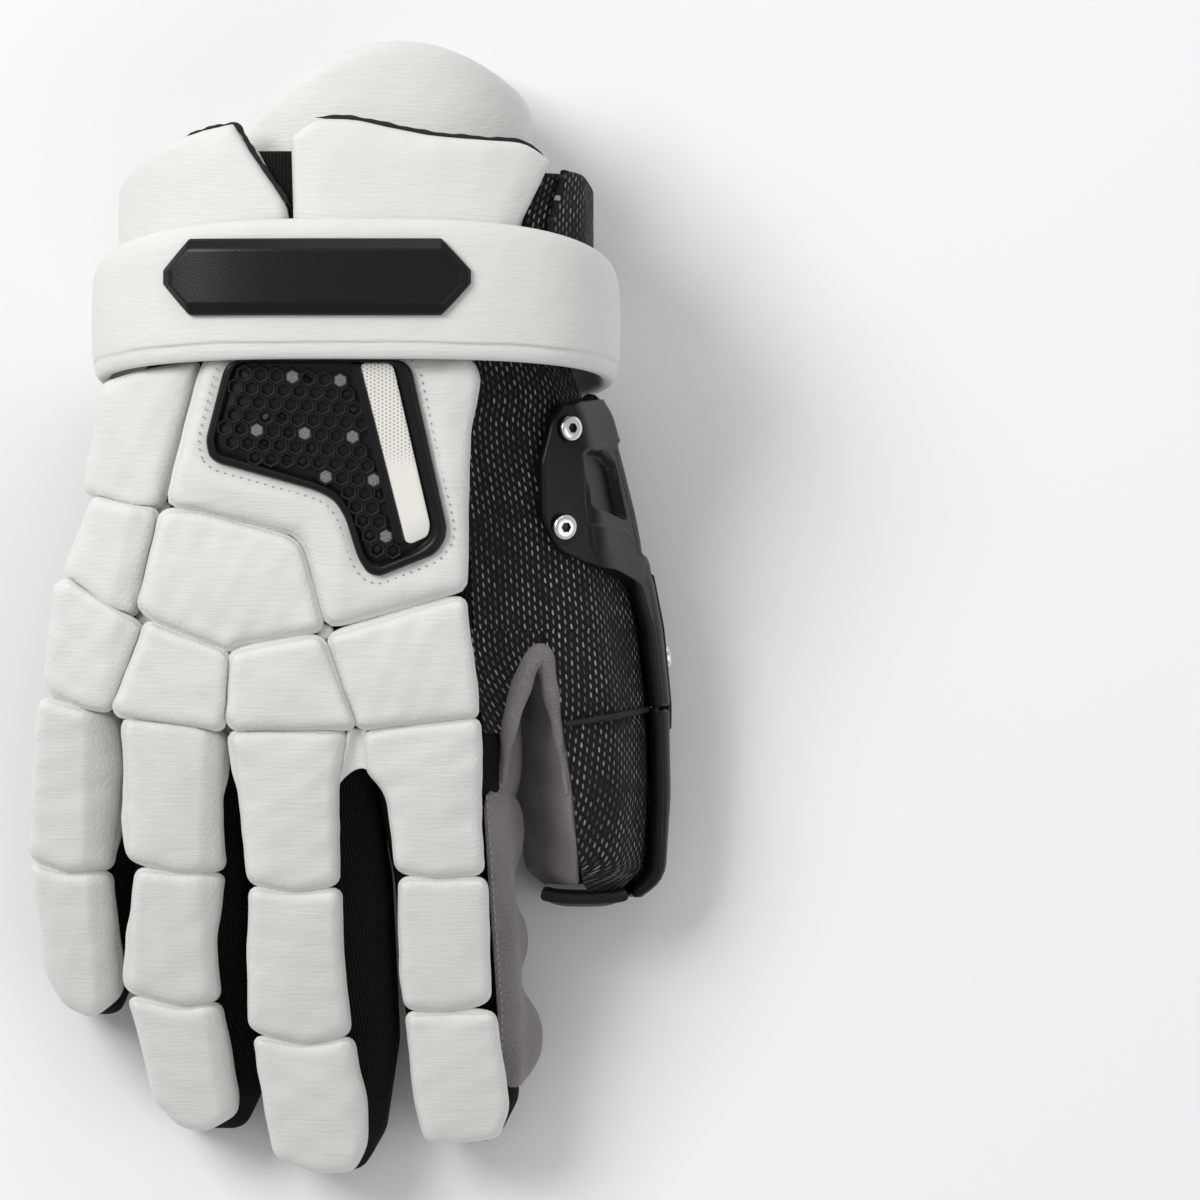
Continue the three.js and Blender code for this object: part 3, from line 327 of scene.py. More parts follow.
def woven(control: Array, step: float = 1.6, fold: float = 2.5, rim: float = 1.2) -> Weft:
    """Fills a coarse grid of points with a fine one.

    Args:
        control: Rows x columns x 3 points.
        step: Spacing of the fine grid.
        fold: Radius to which the coarse grid's folds are rounded.
        rim: Width of the border that gets closer lines.

    Returns:
        The fine grid.
    """
    control = np.asarray(control, float)
    fine = []
    for axis in (0, 1):
        along = running(control, axis).mean(1 - axis)
        count = max(4, math.ceil(along[-1] / step) + 1)
        fine.append(np.interp(np.linspace(0, along[-1], count), along, np.arange(len(along))))
    grid = sampled(control, fine[0], fine[1])
    grid = smoothed(grid, round(2 * (fold / step) ** 2))
    rows = stations(grid, 0, step, rim)
    columns = stations(grid, 1, step, rim)
    at_rows = np.interp(rows, np.arange(len(fine[0])), fine[0])
    at_columns = np.interp(columns, np.arange(len(fine[1])), fine[1])
    return Weft(sampled(grid, rows, columns), at_rows, at_columns)


def grid_cells(rows: int, columns: int) -> Array:
    """Numbers of the four points of each cell of a grid."""
    number = np.arange(rows * columns).reshape(rows, columns)
    return np.stack([number[:-1, :-1], number[1:, :-1], number[1:, 1:], number[:-1, 1:]], 2)


def normals_of(grid: Array, inside: Sequence[float]) -> tuple[Array, float]:
    """Unit normals of a grid towards a point, and 1 or -1 for the grid's own turn.

    Args:
        grid: Rows x columns x 3 points.
        inside: The point.

    Returns:
        The normals and the turn.
    """
    down = np.gradient(grid, axis=0)
    across = np.gradient(grid, axis=1)
    normal = np.cross(down, across)
    normal /= np.maximum(np.linalg.norm(normal, axis=2, keepdims=True), 1e-9)
    facing = float(np.sign((normal * (np.asarray(inside, float) - grid)).sum(2)).sum())
    turn = 1.0 if facing >= 0 else -1.0
    return normal * turn, turn


def shell(
    grid: Array,
    thickness: float,
    inside: Sequence[float],
    rim: float = 1.1,
    lift: float = 0.0,
    near_relief: Array | None = None,
    far_relief: Array | None = None,
    opened: Array | None = None,
    anchor: float | None = None,
) -> Surface:
    """A closed sheet of even thickness with rounded borders.

    Args:
        grid: Fine grid of points on the near face.
        thickness: Distance from the near face to the far one.
        inside: A point on the side to which the thickness goes.
        rim: Radius of the rounded borders.
        lift: Distance of the near face from the grid.
        near_relief: How far each near point stands out, away from the far face.
        far_relief: How far each far point stands out.
        opened: Cells that are left out.
        anchor: Cloth coordinate of the last column, so that the weave runs on from a
            neighbour's; without it the weave starts in the sheet's own middle.

    Returns:
        The sheet, with cloth coordinates along its rows and columns.
    """
    normal, turn = normals_of(grid, inside)
    u, v = running(grid, 1), running(grid, 0)
    rim = min(rim, 0.49 * thickness)
    short = np.clip(rim - from_border(grid), 0, rim)
    drop = rim - np.sqrt(np.maximum(rim * rim - short * short, 0))
    low, high = lift + drop, lift + thickness - drop
    if near_relief is not None:
        low = low - near_relief
    if far_relief is not None:
        high = high + far_relief
    near = grid + normal * low[..., None]
    far = grid + normal * high[..., None]
    rows, columns = grid.shape[:2]
    cells = grid_cells(rows, columns)
    if turn < 0:
        cells = cells[:, :, ::-1]
    cells = cells[~opened] if opened is not None else cells.reshape(-1, 4)
    total = rows * columns
    edges = np.vstack([cells[:, [i, (i + 1) % 4]] for i in range(4)])
    forward = edges[:, 0] * total + edges[:, 1]
    backward = edges[:, 1] * total + edges[:, 0]
    outline = edges[~np.isin(forward, backward)]
    walls = np.stack([outline[:, 0] + total, outline[:, 0], outline[:, 1], outline[:, 1] + total], 1)
    faces = np.vstack([cells[:, ::-1], cells + total, walls])
    used, packed = np.unique(faces, return_inverse=True)
    points = np.concatenate([near.reshape(-1, 3), far.reshape(-1, 3)])[used]
    if anchor is None:
        weave = np.stack([u - u.mean(), v - v.mean()], 2).reshape(-1, 2)
    else:
        weave = np.stack([u - u[:, -1:] + anchor, grid[..., 1]], 2).reshape(-1, 2)
    weave = np.concatenate([weave, weave])[used]
    return Surface(points, [tuple(f) for f in packed.reshape(-1, 4).tolist()], weave)


def sheet(
    control: Sequence[Table],
    step: float,
    fold: float,
    thickness: float,
    inside: Sequence[float],
    rim: float = 1.1,
) -> Surface:
    """A shell over a coarse grid, with the arguments of woven and shell."""
    return shell(woven(np.array(control), step, fold).grid, thickness, inside, rim)


def closed_sweep(sections: Array) -> Surface:
    """Closed sections joined in a closed ring.

    Args:
        sections: Stations x points x 3, without repeated ends.

    Returns:
        A ring with cloth coordinates round it and along its section.
    """
    ring = np.concatenate([sections, sections[:1]])
    ring = np.concatenate([ring, ring[:, :1]], axis=1)
    return patchwork(ring, sections[0].mean(0))


def patchwork(ring: Array, middle: Array) -> Surface:
    """One quad for each cell of a grid, welded where the grid meets itself.

    Args:
        ring: Rows x columns x 3 points.
        middle: A point inside the first row.

    Returns:
        The shape, with cloth coordinates along the grid.
    """
    cells = grid_cells(*ring.shape[:2]).reshape(-1, 4)
    first = ring[0, 0]
    normal = np.cross(ring[1, 0] - first, ring[0, 1] - first)
    if np.dot(normal, first - middle) < 0:
        cells = cells[:, ::-1]
    u, v = running(ring, 0), running(ring, 1)
    weave = np.stack([np.broadcast_to(u.mean(1)[:, None], u.shape), v], 2).reshape(-1, 2)
    faces = [tuple(f) for f in cells.tolist()]
    return Surface(ring.reshape(-1, 3), faces, weave, weld=True)


def spaced(line: Array, count: int) -> Array:
    """A polyline again, with points at even distances.

    Args:
        line: Its points.
        count: How many points to return.

    Returns:
        The new points.
    """
    line = np.asarray(line, float)
    along = np.concatenate([[0], np.cumsum(np.linalg.norm(np.diff(line, axis=0), axis=1))])
    at = np.linspace(0, along[-1], count)
    return np.stack([np.interp(at, along, column) for column in line.T], 1)


def flowing(line: Array, count: int, passes: int = 12) -> Array:
    """A polyline with rounded corners and fixed ends, as evenly spaced points.

    Args:
        line: Its points.
        count: How many points to return.
        passes: How often they are rounded.

    Returns:
        The new points.
    """
    fine = spaced(line, count)
    for _ in range(passes):
        fine[1:-1] = (fine[:-2] + 2 * fine[1:-1] + fine[2:]) / 4
    return spaced(fine, count)


def tube(line: Array, radius: Array | float, sides: int = 10) -> Surface:
    """A round tube along a line, with closed ends and cloth coordinates along it.

    Args:
        line: Points of its centreline.
        radius: One radius, or one for each point.
        sides: How many sides it has.

    Returns:
        The tube.
    """
    line = np.asarray(line, float)
    radius = np.broadcast_to(np.asarray(radius, float), (len(line),))
    ahead = np.gradient(line, axis=0)
    ahead /= np.linalg.norm(ahead, axis=1, keepdims=True)
    side = np.cross(ahead[0], [0, 0, 1] if abs(ahead[0, 2]) < 0.9 else [1, 0, 0])
    rings = []
    for point, direction, reach in zip(line, ahead, radius):
        side = side - direction * np.dot(side, direction)
        side /= np.linalg.norm(side)
        other = np.cross(direction, side)
        turn = np.linspace(0, 2 * np.pi, sides + 1)
        rings.append(point + reach * (np.outer(np.cos(turn), side) + np.outer(np.sin(turn), other)))
    start = line[0] - ahead[0] * radius[0] * 0.5
    end = line[-1] + ahead[-1] * radius[-1] * 0.5
    rings = [np.broadcast_to(start, (sides + 1, 3)), *rings, np.broadcast_to(end, (sides + 1, 3))]
    return patchwork(np.array(rings), line[0])


def outline_of(corners: Table, radius: float, count: int) -> Array:
    """A closed counter-clockwise outline with rounded corners and evenly spaced points.

    Args:
        corners: Its corners, either way round.
        radius: Radius of the rounding.
        count: How many points to return.

    Returns:
        The points.
    """
    points = np.asarray(corners, float)
    x, y = points.T
    if (x * np.roll(y, -1) - y * np.roll(x, -1)).sum() < 0:
        points = points[::-1]
    rounded = []
    for i, here in enumerate(points):
        before, after = points[i - 1], points[(i + 1) % len(points)]
        back, on = np.linalg.norm(before - here), np.linalg.norm(after - here)
        reach = min(radius, 0.42 * back, 0.42 * on)
        start, end = lerp(here, before, reach / back), lerp(here, after, reach / on)
        for t in np.linspace(0, 1, 6):
            rounded.append(lerp(lerp(start, here, t), lerp(here, end, t), t))
    rounded.append(rounded[0])
    return spaced(np.array(rounded), count + 1)[:-1]


def outward(outline: Array) -> Array:
    """Unit normals of a counter-clockwise outline, pointing out.

    Args:
        outline: Its points.

    Returns:
        A normal for each point.
    """
    ahead = np.roll(outline, -1, 0) - np.roll(outline, 1, 0)
    normal = np.stack([ahead[:, 1], -ahead[:, 0]], 1)
    return normal / np.maximum(np.linalg.norm(normal, axis=1, keepdims=True), 1e-9)


def inside_distance(points: Array, polygon: Array) -> Array:
    """Distance of each point from a polygon's edge, positive inside.

    Args:
        points: Points in the plane.
        polygon: Corners of the polygon.

    Returns:
        The distances.
    """
    start = np.asarray(polygon, float)
    end = np.roll(start, -1, 0)
    edge = end - start
    offset = points[:, None, :] - start[None]
    share = np.clip((offset * edge).sum(2) / np.maximum((edge * edge).sum(1), 1e-12), 0, 1)
    near = np.linalg.norm(offset - share[..., None] * edge, axis=2).min(1)
    x, y = points[:, :1], points[:, 1:]
    level = np.where(np.abs(edge[:, 1]) < 1e-9, 1e-9, edge[:, 1])
    crossing = (start[:, 1] > y) != (end[:, 1] > y)
    crossing &= x < edge[:, 0] * (y - start[:, 1]) / level + start[:, 0]
    return np.where(crossing.sum(1) % 2 == 1, near, -near)


def calmed(ring: Array, passes: int) -> Array:
    """Numbers round a closed ring with their jumps softened.

    Args:
        ring: The numbers.
        passes: How often they are averaged.

    Returns:
        The new numbers.
    """
    for _ in range(passes):
        ring = (np.roll(ring, 1) + 2 * ring + np.roll(ring, -1)) / 4
    return ring


def polar(turn: Array, reach: Array | float, height: float) -> Array:
    """Points round the vertical axis."""
    return np.column_stack([reach * np.cos(turn), reach * np.sin(turn), np.full(len(turn), height)])


def capped_rings(rings: list[Array], centre_low: Array, centre_high: Array) -> Surface:
    """Rings of equal length from the foot to the top, closed by a fan at both ends.

    Args:
        rings: The rings.
        centre_low: Middle of the fan at the foot.
        centre_high: Middle of the fan at the top.

    Returns:
        The closed shape.
    """
    count = len(rings[0])
    points = np.concatenate([*rings, centre_low[None], centre_high[None]])
    faces: list[tuple[int, ...]] = []
    for r in range(len(rings) - 1):
        for i in range(count):
            a, b = r * count + i, r * count + (i + 1) % count
            faces.append((a, b, b + count, a + count))
    foot, crown, last = len(points) - 2, len(points) - 1, (len(rings) - 1) * count
    for i in range(count):
        following = (i + 1) % count
        faces.append((foot, following, i))
        faces.append((crown, last + i, last + following))
    return Surface(points, faces)


# Finishes


class Nodes:
    """A node tree under construction."""

    tree: bpy.types.NodeTree

    def fill_inputs(self, node: bpy.types.Node, inputs: dict) -> None:
        """Links the inputs that are given as sockets, sets the others and skips each None.

        Args:
            node: The node.
            inputs: Values or sockets by input.
        """
        for key, value in inputs.items():
            if isinstance(value, Socket):
                self.tree.links.new(value, node.inputs[key])
            elif value is not None:
                node.inputs[key].default_value = value

    def node(self, kind: str, inputs: dict | None = None, **settings: object) -> bpy.types.Node:
        """Adds a node, sets its properties and fills or links its inputs.

        Args:
            kind: The node type.
            inputs: Values or sockets by input.
            settings: Its properties.

        Returns:
            The node.
        """
        made = self.tree.nodes.new(kind)
        for name, value in settings.items():
            setattr(made, name, value)
        self.fill_inputs(made, inputs or {})
        return made


class Graph(Nodes):
    """A material under construction, with short calls for its nodes."""

    def __init__(self, name: str) -> None:
        """Starts a material with a Principled shader.

        Args:
            name: Its name.
        """
        self.material = bpy.data.materials.new(name)
        self.material.use_nodes = True
        self.tree = self.material.node_tree
        self.tree.nodes.clear()
        self.shader = self.node("ShaderNodeBsdfPrincipled")
        output = self.node("ShaderNodeOutputMaterial")
        self.tree.links.new(self.shader.outputs[0], output.inputs["Surface"])

    def math(self, operation: str, *values: object) -> Socket:
        """The result of a math node."""
        inputs = dict(enumerate(values))
        return self.node("ShaderNodeMath", inputs, operation=operation).outputs[0]

    def ramp(self, value: object, low: float, high: float) -> Socket:
        """Rises smoothly from 0 at low to 1 at high."""
        inputs = {"Value": value, "From Min": low, "From Max": high}
        return self.node("ShaderNodeMapRange", inputs, interpolation_type="SMOOTHSTEP").outputs[0]

    def blend(self, share: object, first: object, second: object) -> Socket:
        """A colour between two colours."""
        inputs = {0: share, 6: first, 7: second}
        return self.node("ShaderNodeMix", inputs, data_type="RGBA").outputs[2]

    def noise(self, scale: float, stretch: Sequence[float] = (1, 1, 1), detail: float = 2) -> Socket:
        """Noise on the piece's own coordinates, finer along an axis with a larger stretch.

        Args:
            scale: How fine it is.
            stretch: How much finer along each axis.
            detail: Octaves.

        Returns:
            Its value.
        """
        place = self.node("ShaderNodeTexCoord").outputs["Object"]
        mapped = self.node("ShaderNodeMapping", {"Vector": place, "Scale": tuple(stretch)})
        inputs = {"Vector": mapped.outputs[0], "Scale": scale, "Detail": detail}
        return self.node("ShaderNodeTexNoise", inputs).outputs[0]

    def bump(self, height: Socket, distance: float, before: Socket | None = None) -> Socket:
        """A bumped normal."""
        inputs = {"Height": height, "Distance": distance, "Normal": before}
        return self.node("ShaderNodeBump", inputs).outputs[0]

    def times(self, value: object, factor: object, plus: float = 0.0) -> Socket:
        """A product, and a number added to it unless it is 0."""
        product = self.math("MULTIPLY", value, factor)
        return self.math("ADD", product, plus) if plus else product

    def value(self, name: str) -> Socket:
        """A value stored on the piece's points."""
        return self.node("ShaderNodeAttribute", attribute_name=name).outputs["Fac"]

    def weave(self) -> tuple[Socket, Socket]:
        """The cloth coordinates in metres, across and along.

        Returns:
            Both coordinates.
        """
        made = self.node("ShaderNodeUVMap", uv_map=WEAVE_MAP)
        split = self.node("ShaderNodeSeparateXYZ", {0: made.outputs[0]})
        return split.outputs[0], split.outputs[1]

    def cells(self, pitch_u: float, pitch_v: float, slant: float) -> tuple[Socket, ...]:
        """Staggered cells on the cloth: place in the cell both ways, and a number for each.

        Args:
            pitch_u: Size across the cloth.
            pitch_v: Size along it.
            slant: Lean of the cells.

        Returns:
            Both places, from -0.5 to 0.5, and the number.
        """
        u, v = self.weave()
        across = self.times(u, 1 / pitch_u)
        column = self.math("FLOOR", across)
        shift = self.times(self.math("PINGPONG", column, 1.0), 0.5)
        along = self.math("ADD", self.times(v, 1 / pitch_v), shift)
        line = self.math("FLOOR", along)
        fu = self.math("SUBTRACT", self.math("SUBTRACT", across, column), 0.5)
        fv = self.math("SUBTRACT", self.math("SUBTRACT", along, line), 0.5)
        fu = self.math("ADD", fu, self.times(fv, slant))
        pair = self.node("ShaderNodeCombineXYZ", {0: column, 1: line})
        chance = self.node("ShaderNodeTexWhiteNoise", {"Vector": pair.outputs[0]}).outputs[0]
        return fu, fv, chance

    def spot(self, fu: object, fv: object, wide: float, tall: float) -> Socket:
        """1 inside an oval in the middle of a cell and 0 outside, with a soft edge.

        Args:
            fu: Place in the cell across.
            fv: Place along.
            wide: Half width.
            tall: Half height.

        Returns:
            The share.
        """
        across = self.math("POWER", self.math("ABSOLUTE", self.math("DIVIDE", fu, wide)), 2.0)
        along = self.math("POWER", self.math("ABSOLUTE", self.math("DIVIDE", fv, tall)), 2.0)
        return self.ramp(self.math("ADD", across, along), 1.25, 0.7)

    def dress(self, colour: object, roughness: float, normal: Socket, shares: dict | None = None) -> Material:
        """Fills the shader and returns the material.

        Args:
            colour: Base colour.
            roughness: Roughness.
            normal: Bumped normal.
            shares: Other inputs of the shader.

        Returns:
            The material.
        """
        inputs = {"Base Color": colour, "Roughness": roughness, "Normal": normal}
        self.fill_inputs(self.shader, {**inputs, **(shares or {})})
        return self.material


def grey(value: float, warm: float = 0.0) -> tuple[float, float, float, float]:
    """A grey, with a share of warmth."""
    return (value * (1 + warm), value, value * (1 - warm), 1.0)


@dataclass(frozen=True)
class PaddedFabric:
    """Off-white coated fabric: fine weave on top, leathery grain on the sides."""

    name: str = "white_coated_fabric"
    bright: tuple[float, ...] = (0.695, 0.702, 0.658, 1.0)
    shaded: tuple[float, ...] = (0.648, 0.655, 0.612, 1.0)
    roughness: float = 0.62

    def build(self) -> Material:
        """Makes the material.

        Returns:
            The material.
        """
        graph = Graph(self.name)
        weave = graph.noise(1.0, (110, 1300, 500), detail=1)
        place = graph.node("ShaderNodeTexCoord").outputs["Object"]
        scales = graph.node("ShaderNodeTexVoronoi", {"Vector": place, "Scale": 820.0})
        plateau = graph.value("plateau")
        grain = graph.times(scales.outputs[0], 1.1)
        mixed = graph.node("ShaderNodeMix", {0: plateau, 2: grain, 3: weave}, data_type="FLOAT")
        fine = graph.bump(mixed.outputs[0], 0.00015)
        soft = graph.bump(graph.noise(38.0, detail=3), 0.0012, fine)
        tint = graph.blend(graph.noise(350.0, (0.3, 3, 1)), self.shaded, self.bright)
        return graph.dress(tint, self.roughness, soft, {"Sheen Weight": 0.15, "Sheen Roughness": 0.5})


@dataclass(frozen=True)
class KnitCloth:
    """Black knit with fine ribs along the cloth."""

    name: str = "black_knit"
    pitch: float = 0.0011
    depth: float = 0.0003
    tone: float = 0.0075

    def build(self) -> Material:
        """Makes the material.

        Returns:
            The material.
        """
        graph = Graph(self.name)
        u, v = graph.weave()
        ribs = graph.math("SINE", graph.times(u, 2 * math.pi / self.pitch))
        loops = graph.math("SINE", graph.times(v, 2 * math.pi / (self.pitch * 0.8)))
        height = graph.math("ADD", ribs, graph.times(loops, 0.4))
        normal = graph.bump(height, self.depth)
        # painted light and shade: the colour is lighter on the rib crests and darker in the rib valleys
        tint = graph.blend(graph.ramp(height, -1.0, 1.4), grey(self.tone * 0.4), grey(self.tone * 1.7))
        return graph.dress(tint, 0.9, normal, {"Specular IOR Level": 0.25})


@dataclass(frozen=True)
class SpacerMesh:
    """Black mesh cloth whose bright lower yarn shows through as short dashes."""

    name: str = "black_spacer_mesh"
    pitch_u: float = 0.00195
    pitch_v: float = 0.0029
    bright: tuple[float, ...] = (0.58, 0.59, 0.58, 1.0)

    def build(self) -> Material:
        """Makes the material.

        Returns:
            The material.
        """
        graph = Graph(self.name)
        fu, fv, chance = graph.cells(self.pitch_u, self.pitch_v, 0.18)
        dash = graph.spot(fu, fv, 0.17, 0.31)
        strength = graph.times(chance, 0.62, 0.06)
        patches = graph.ramp(graph.noise(55.0, detail=3), 0.30, 0.62)
        strength = graph.times(strength, graph.times(patches, 0.7, 0.3))
        threads = graph.ramp(graph.noise(2600.0, detail=1), 0.35, 0.75)
        ground = graph.blend(threads, grey(0.003), grey(0.016))
        tint = graph.blend(graph.times(dash, strength), ground, self.bright)
        height = graph.math("ADD", graph.times(dash, -0.6), graph.times(threads, 0.4))
        normal = graph.bump(height, 0.0004)
        return graph.dress(tint, 0.72, normal, {"Specular IOR Level": 0.2})


@dataclass(frozen=True)
class Suede:
    """Warm grey synthetic suede, with small punched holes where asked."""

    name: str = "grey_suede"
    dark: tuple[float, ...] = (0.150, 0.132, 0.126, 1.0)
    light: tuple[float, ...] = (0.262, 0.238, 0.228, 1.0)
    punched: bool = False

    def build(self) -> Material:
        """Makes the material.

        Returns:
            The material.
        """
        graph = Graph(self.name)
        fine = graph.noise(1700.0, detail=3)
        broad = graph.noise(42.0, detail=3)
        share = graph.math("ADD", graph.times(fine, 0.75), graph.times(broad, 0.5))
        tint = graph.blend(graph.ramp(share, 0.38, 0.86), self.dark, self.light)
        height = fine
        if self.punched:
            fu, fv, _ = graph.cells(0.0062, 0.0088, 0.0)
            hole = graph.spot(fu, fv, 0.12, 0.085)
            tint = graph.blend(hole, tint, grey(0.01))
            height = graph.math("SUBTRACT", fine, graph.times(hole, 2.0))
        normal = graph.bump(graph.noise(60.0, detail=2), 0.001, graph.bump(height, 0.00028))
        return graph.dress(tint, 0.95, normal, {"Specular IOR Level": 0.2, "Sheen Weight": 0.25})


@dataclass(frozen=True)
class MouldedPlastic:
    """Satin black moulded plastic; inlaid areas may carry small scales."""

    name: str = "black_moulded_plastic"
    tone: float = 0.0042
    roughness: float = 0.34
    grain: Grain = Grain.PLAIN

    def build(self) -> Material:
        """Makes the material.

        Returns:
            The material.
        """
        graph = Graph(self.name)
        normal = graph.bump(graph.noise(1900.0, detail=1), 0.00004)
        if self.grain is Grain.SCALES:
            u, v = graph.weave()
            pair = graph.node("ShaderNodeCombineXYZ", {0: u, 1: v}).outputs[0]
            inputs = {"Vector": pair, "Scale": 520.0, "Randomness": 0.35}
            scales = graph.node("ShaderNodeTexVoronoi", inputs, feature="DISTANCE_TO_EDGE").outputs[0]
            height = graph.times(graph.ramp(scales, 0.0, 0.16), graph.value("inlay"))
            normal = graph.bump(height, 0.00035, normal)
        return graph.dress(grey(self.tone), self.roughness, normal, {"Specular IOR Level": 0.26})


@dataclass(frozen=True)
class BrightSteel:
    """Nickel-plated screw steel, with painted shade inside the socket."""

    name: str = "screw_steel"

    def build(self) -> Material:
        """Makes the material.

        Returns:
            The material.
        """
        graph = Graph(self.name)
        # painted shade: points marked as the socket's inside get a near-black colour instead of steel
        tint = graph.blend(graph.value("recess"), grey(0.78), grey(0.03))
        scratches = graph.bump(graph.noise(900.0, (1, 4, 1)), 0.00003)
        return graph.dress(tint, 0.24, scratches, {"Metallic": 1.0})


@dataclass(frozen=True)
class CreamInlay:
    """Cream rubber with a field of fine dots at its upper end."""

    name: str = "cream_rubber"

    def build(self) -> Material:
        """Makes the material.

        Returns:
            The material.
        """
        graph = Graph(self.name)
        fu, fv, _ = graph.cells(0.0012, 0.0012, 0.0)
        dots = graph.times(graph.spot(fu, fv, 0.25, 0.25), graph.value("dotted"))
        tint = graph.blend(dots, (0.76, 0.74, 0.68, 1), (0.42, 0.39, 0.33, 1))
        return graph.dress(tint, 0.5, graph.bump(dots, -0.0001))


@dataclass(frozen=True)
class Plain:
    """One even colour with a fine grain."""

    name: str
    colour: tuple[float, ...]
    roughness: float = 0.8
    grain: float = 0.00005

    def build(self) -> Material:
        """Makes the material.

        Returns:
            The material.
        """
        graph = Graph(self.name)
        normal = graph.bump(graph.noise(1500.0), self.grain)
        return graph.dress(self.colour, self.roughness, normal)


class Wardrobe:
    """The finishes, each made once."""

    def __init__(self) -> None:
        """Makes every material."""
        self.fabric = PaddedFabric().build()
        self.knit = KnitCloth().build()
        self.ribbing = KnitCloth("black_ribbing", pitch=0.0034, depth=0.0012, tone=0.009).build()
        self.mesh = SpacerMesh().build()
        self.suede = Suede().build()
        self.punched = Suede("grey_punched_suede", punched=True).build()
        self.plastic = MouldedPlastic().build()
        self.scaled = MouldedPlastic("black_scaled_plastic", grain=Grain.SCALES).build()
        self.rubber = MouldedPlastic("black_rubber", tone=0.005, roughness=0.5).build()
        self.steel = BrightSteel().build()
        self.cream = CreamInlay().build()
        # painted glints: a mid grey for the caps that stand in for reflections in some vent cells
        self.glint_paint = Plain("smoke_grey_cell", (0.15, 0.15, 0.165, 1), 0.4, 0.0006).build()
        self.grey_thread = Plain("grey_thread", (0.36, 0.33, 0.31, 1)).build()
        self.binding = Plain("black_binding", (0.008, 0.008, 0.010, 1), 0.85, 0.0002).build()
        self.cord = KnitCloth("black_braid", pitch=0.0016, depth=0.0003, tone=0.009).build()
        self.floor = Plain("pale_floor", (0.86, 0.86, 0.86, 1), 0.9, 0.0).build()


# Repeated pieces


class NodeTree(Nodes):
    """A Geometry Nodes tree with named inputs."""

    def __init__(self, name: str, numbers: dict[str, float]) -> None:
        """Starts a tree with a mesh, some numbers, an object and a material as inputs.

        Args:
            name: Its name.
            numbers: Its number inputs, with their defaults.
        """
        self.tree = bpy.data.node_groups.new(name, "GeometryNodeTree")
        face = self.tree.interface
        face.new_socket(name="Mesh", in_out="INPUT", socket_type="NodeSocketGeometry")
        self.sockets = {}
        for label, value in numbers.items():
            made = face.new_socket(name=label, in_out="INPUT", socket_type="NodeSocketFloat")
            made.default_value = value
            self.sockets[label] = made.identifier
        for label, kind in (("Copy", "NodeSocketObject"), ("Material", "NodeSocketMaterial")):
            made = face.new_socket(name=label, in_out="INPUT", socket_type=kind)
            self.sockets[label] = made.identifier
        face.new_socket(name="Mesh", in_out="OUTPUT", socket_type="NodeSocketGeometry")
        self.start = self.tree.nodes.new("NodeGroupInput")
        self.end = self.tree.nodes.new("NodeGroupOutput")

    def finish(self, instances: Socket) -> None:
        """Realizes the instances, gives them the material and ends the tree.

        Args:
            instances: The copies.
        """
        real = self.node("GeometryNodeRealizeInstances", {0: instances})
        inputs = {0: real.outputs[0], "Material": self.start.outputs["Material"]}
        dressed = self.node("GeometryNodeSetMaterial", inputs)
        self.tree.links.new(dressed.outputs[0], self.end.inputs[0])

    def apply(self, name: str, carrier: bpy.types.Mesh, values: dict[str, object]) -> bpy.types.Object:
        """Runs the tree on a mesh and returns its result as a plain object.

        Args:
            name: Name of the result.
            carrier: The mesh.
            values: Values of the inputs.

        Returns:
            The object.
        """
        source = linked(name + "_source", carrier)
        modifier = source.modifiers.new("repeat", "NODES")
        modifier.node_group = self.tree
        for label, value in values.items():
            modifier[self.sockets[label]] = value
        mesh = frozen(source)
        source.modifiers.clear()
        bpy.data.objects.remove(source)
        mesh.name = name
        return linked(name, mesh)


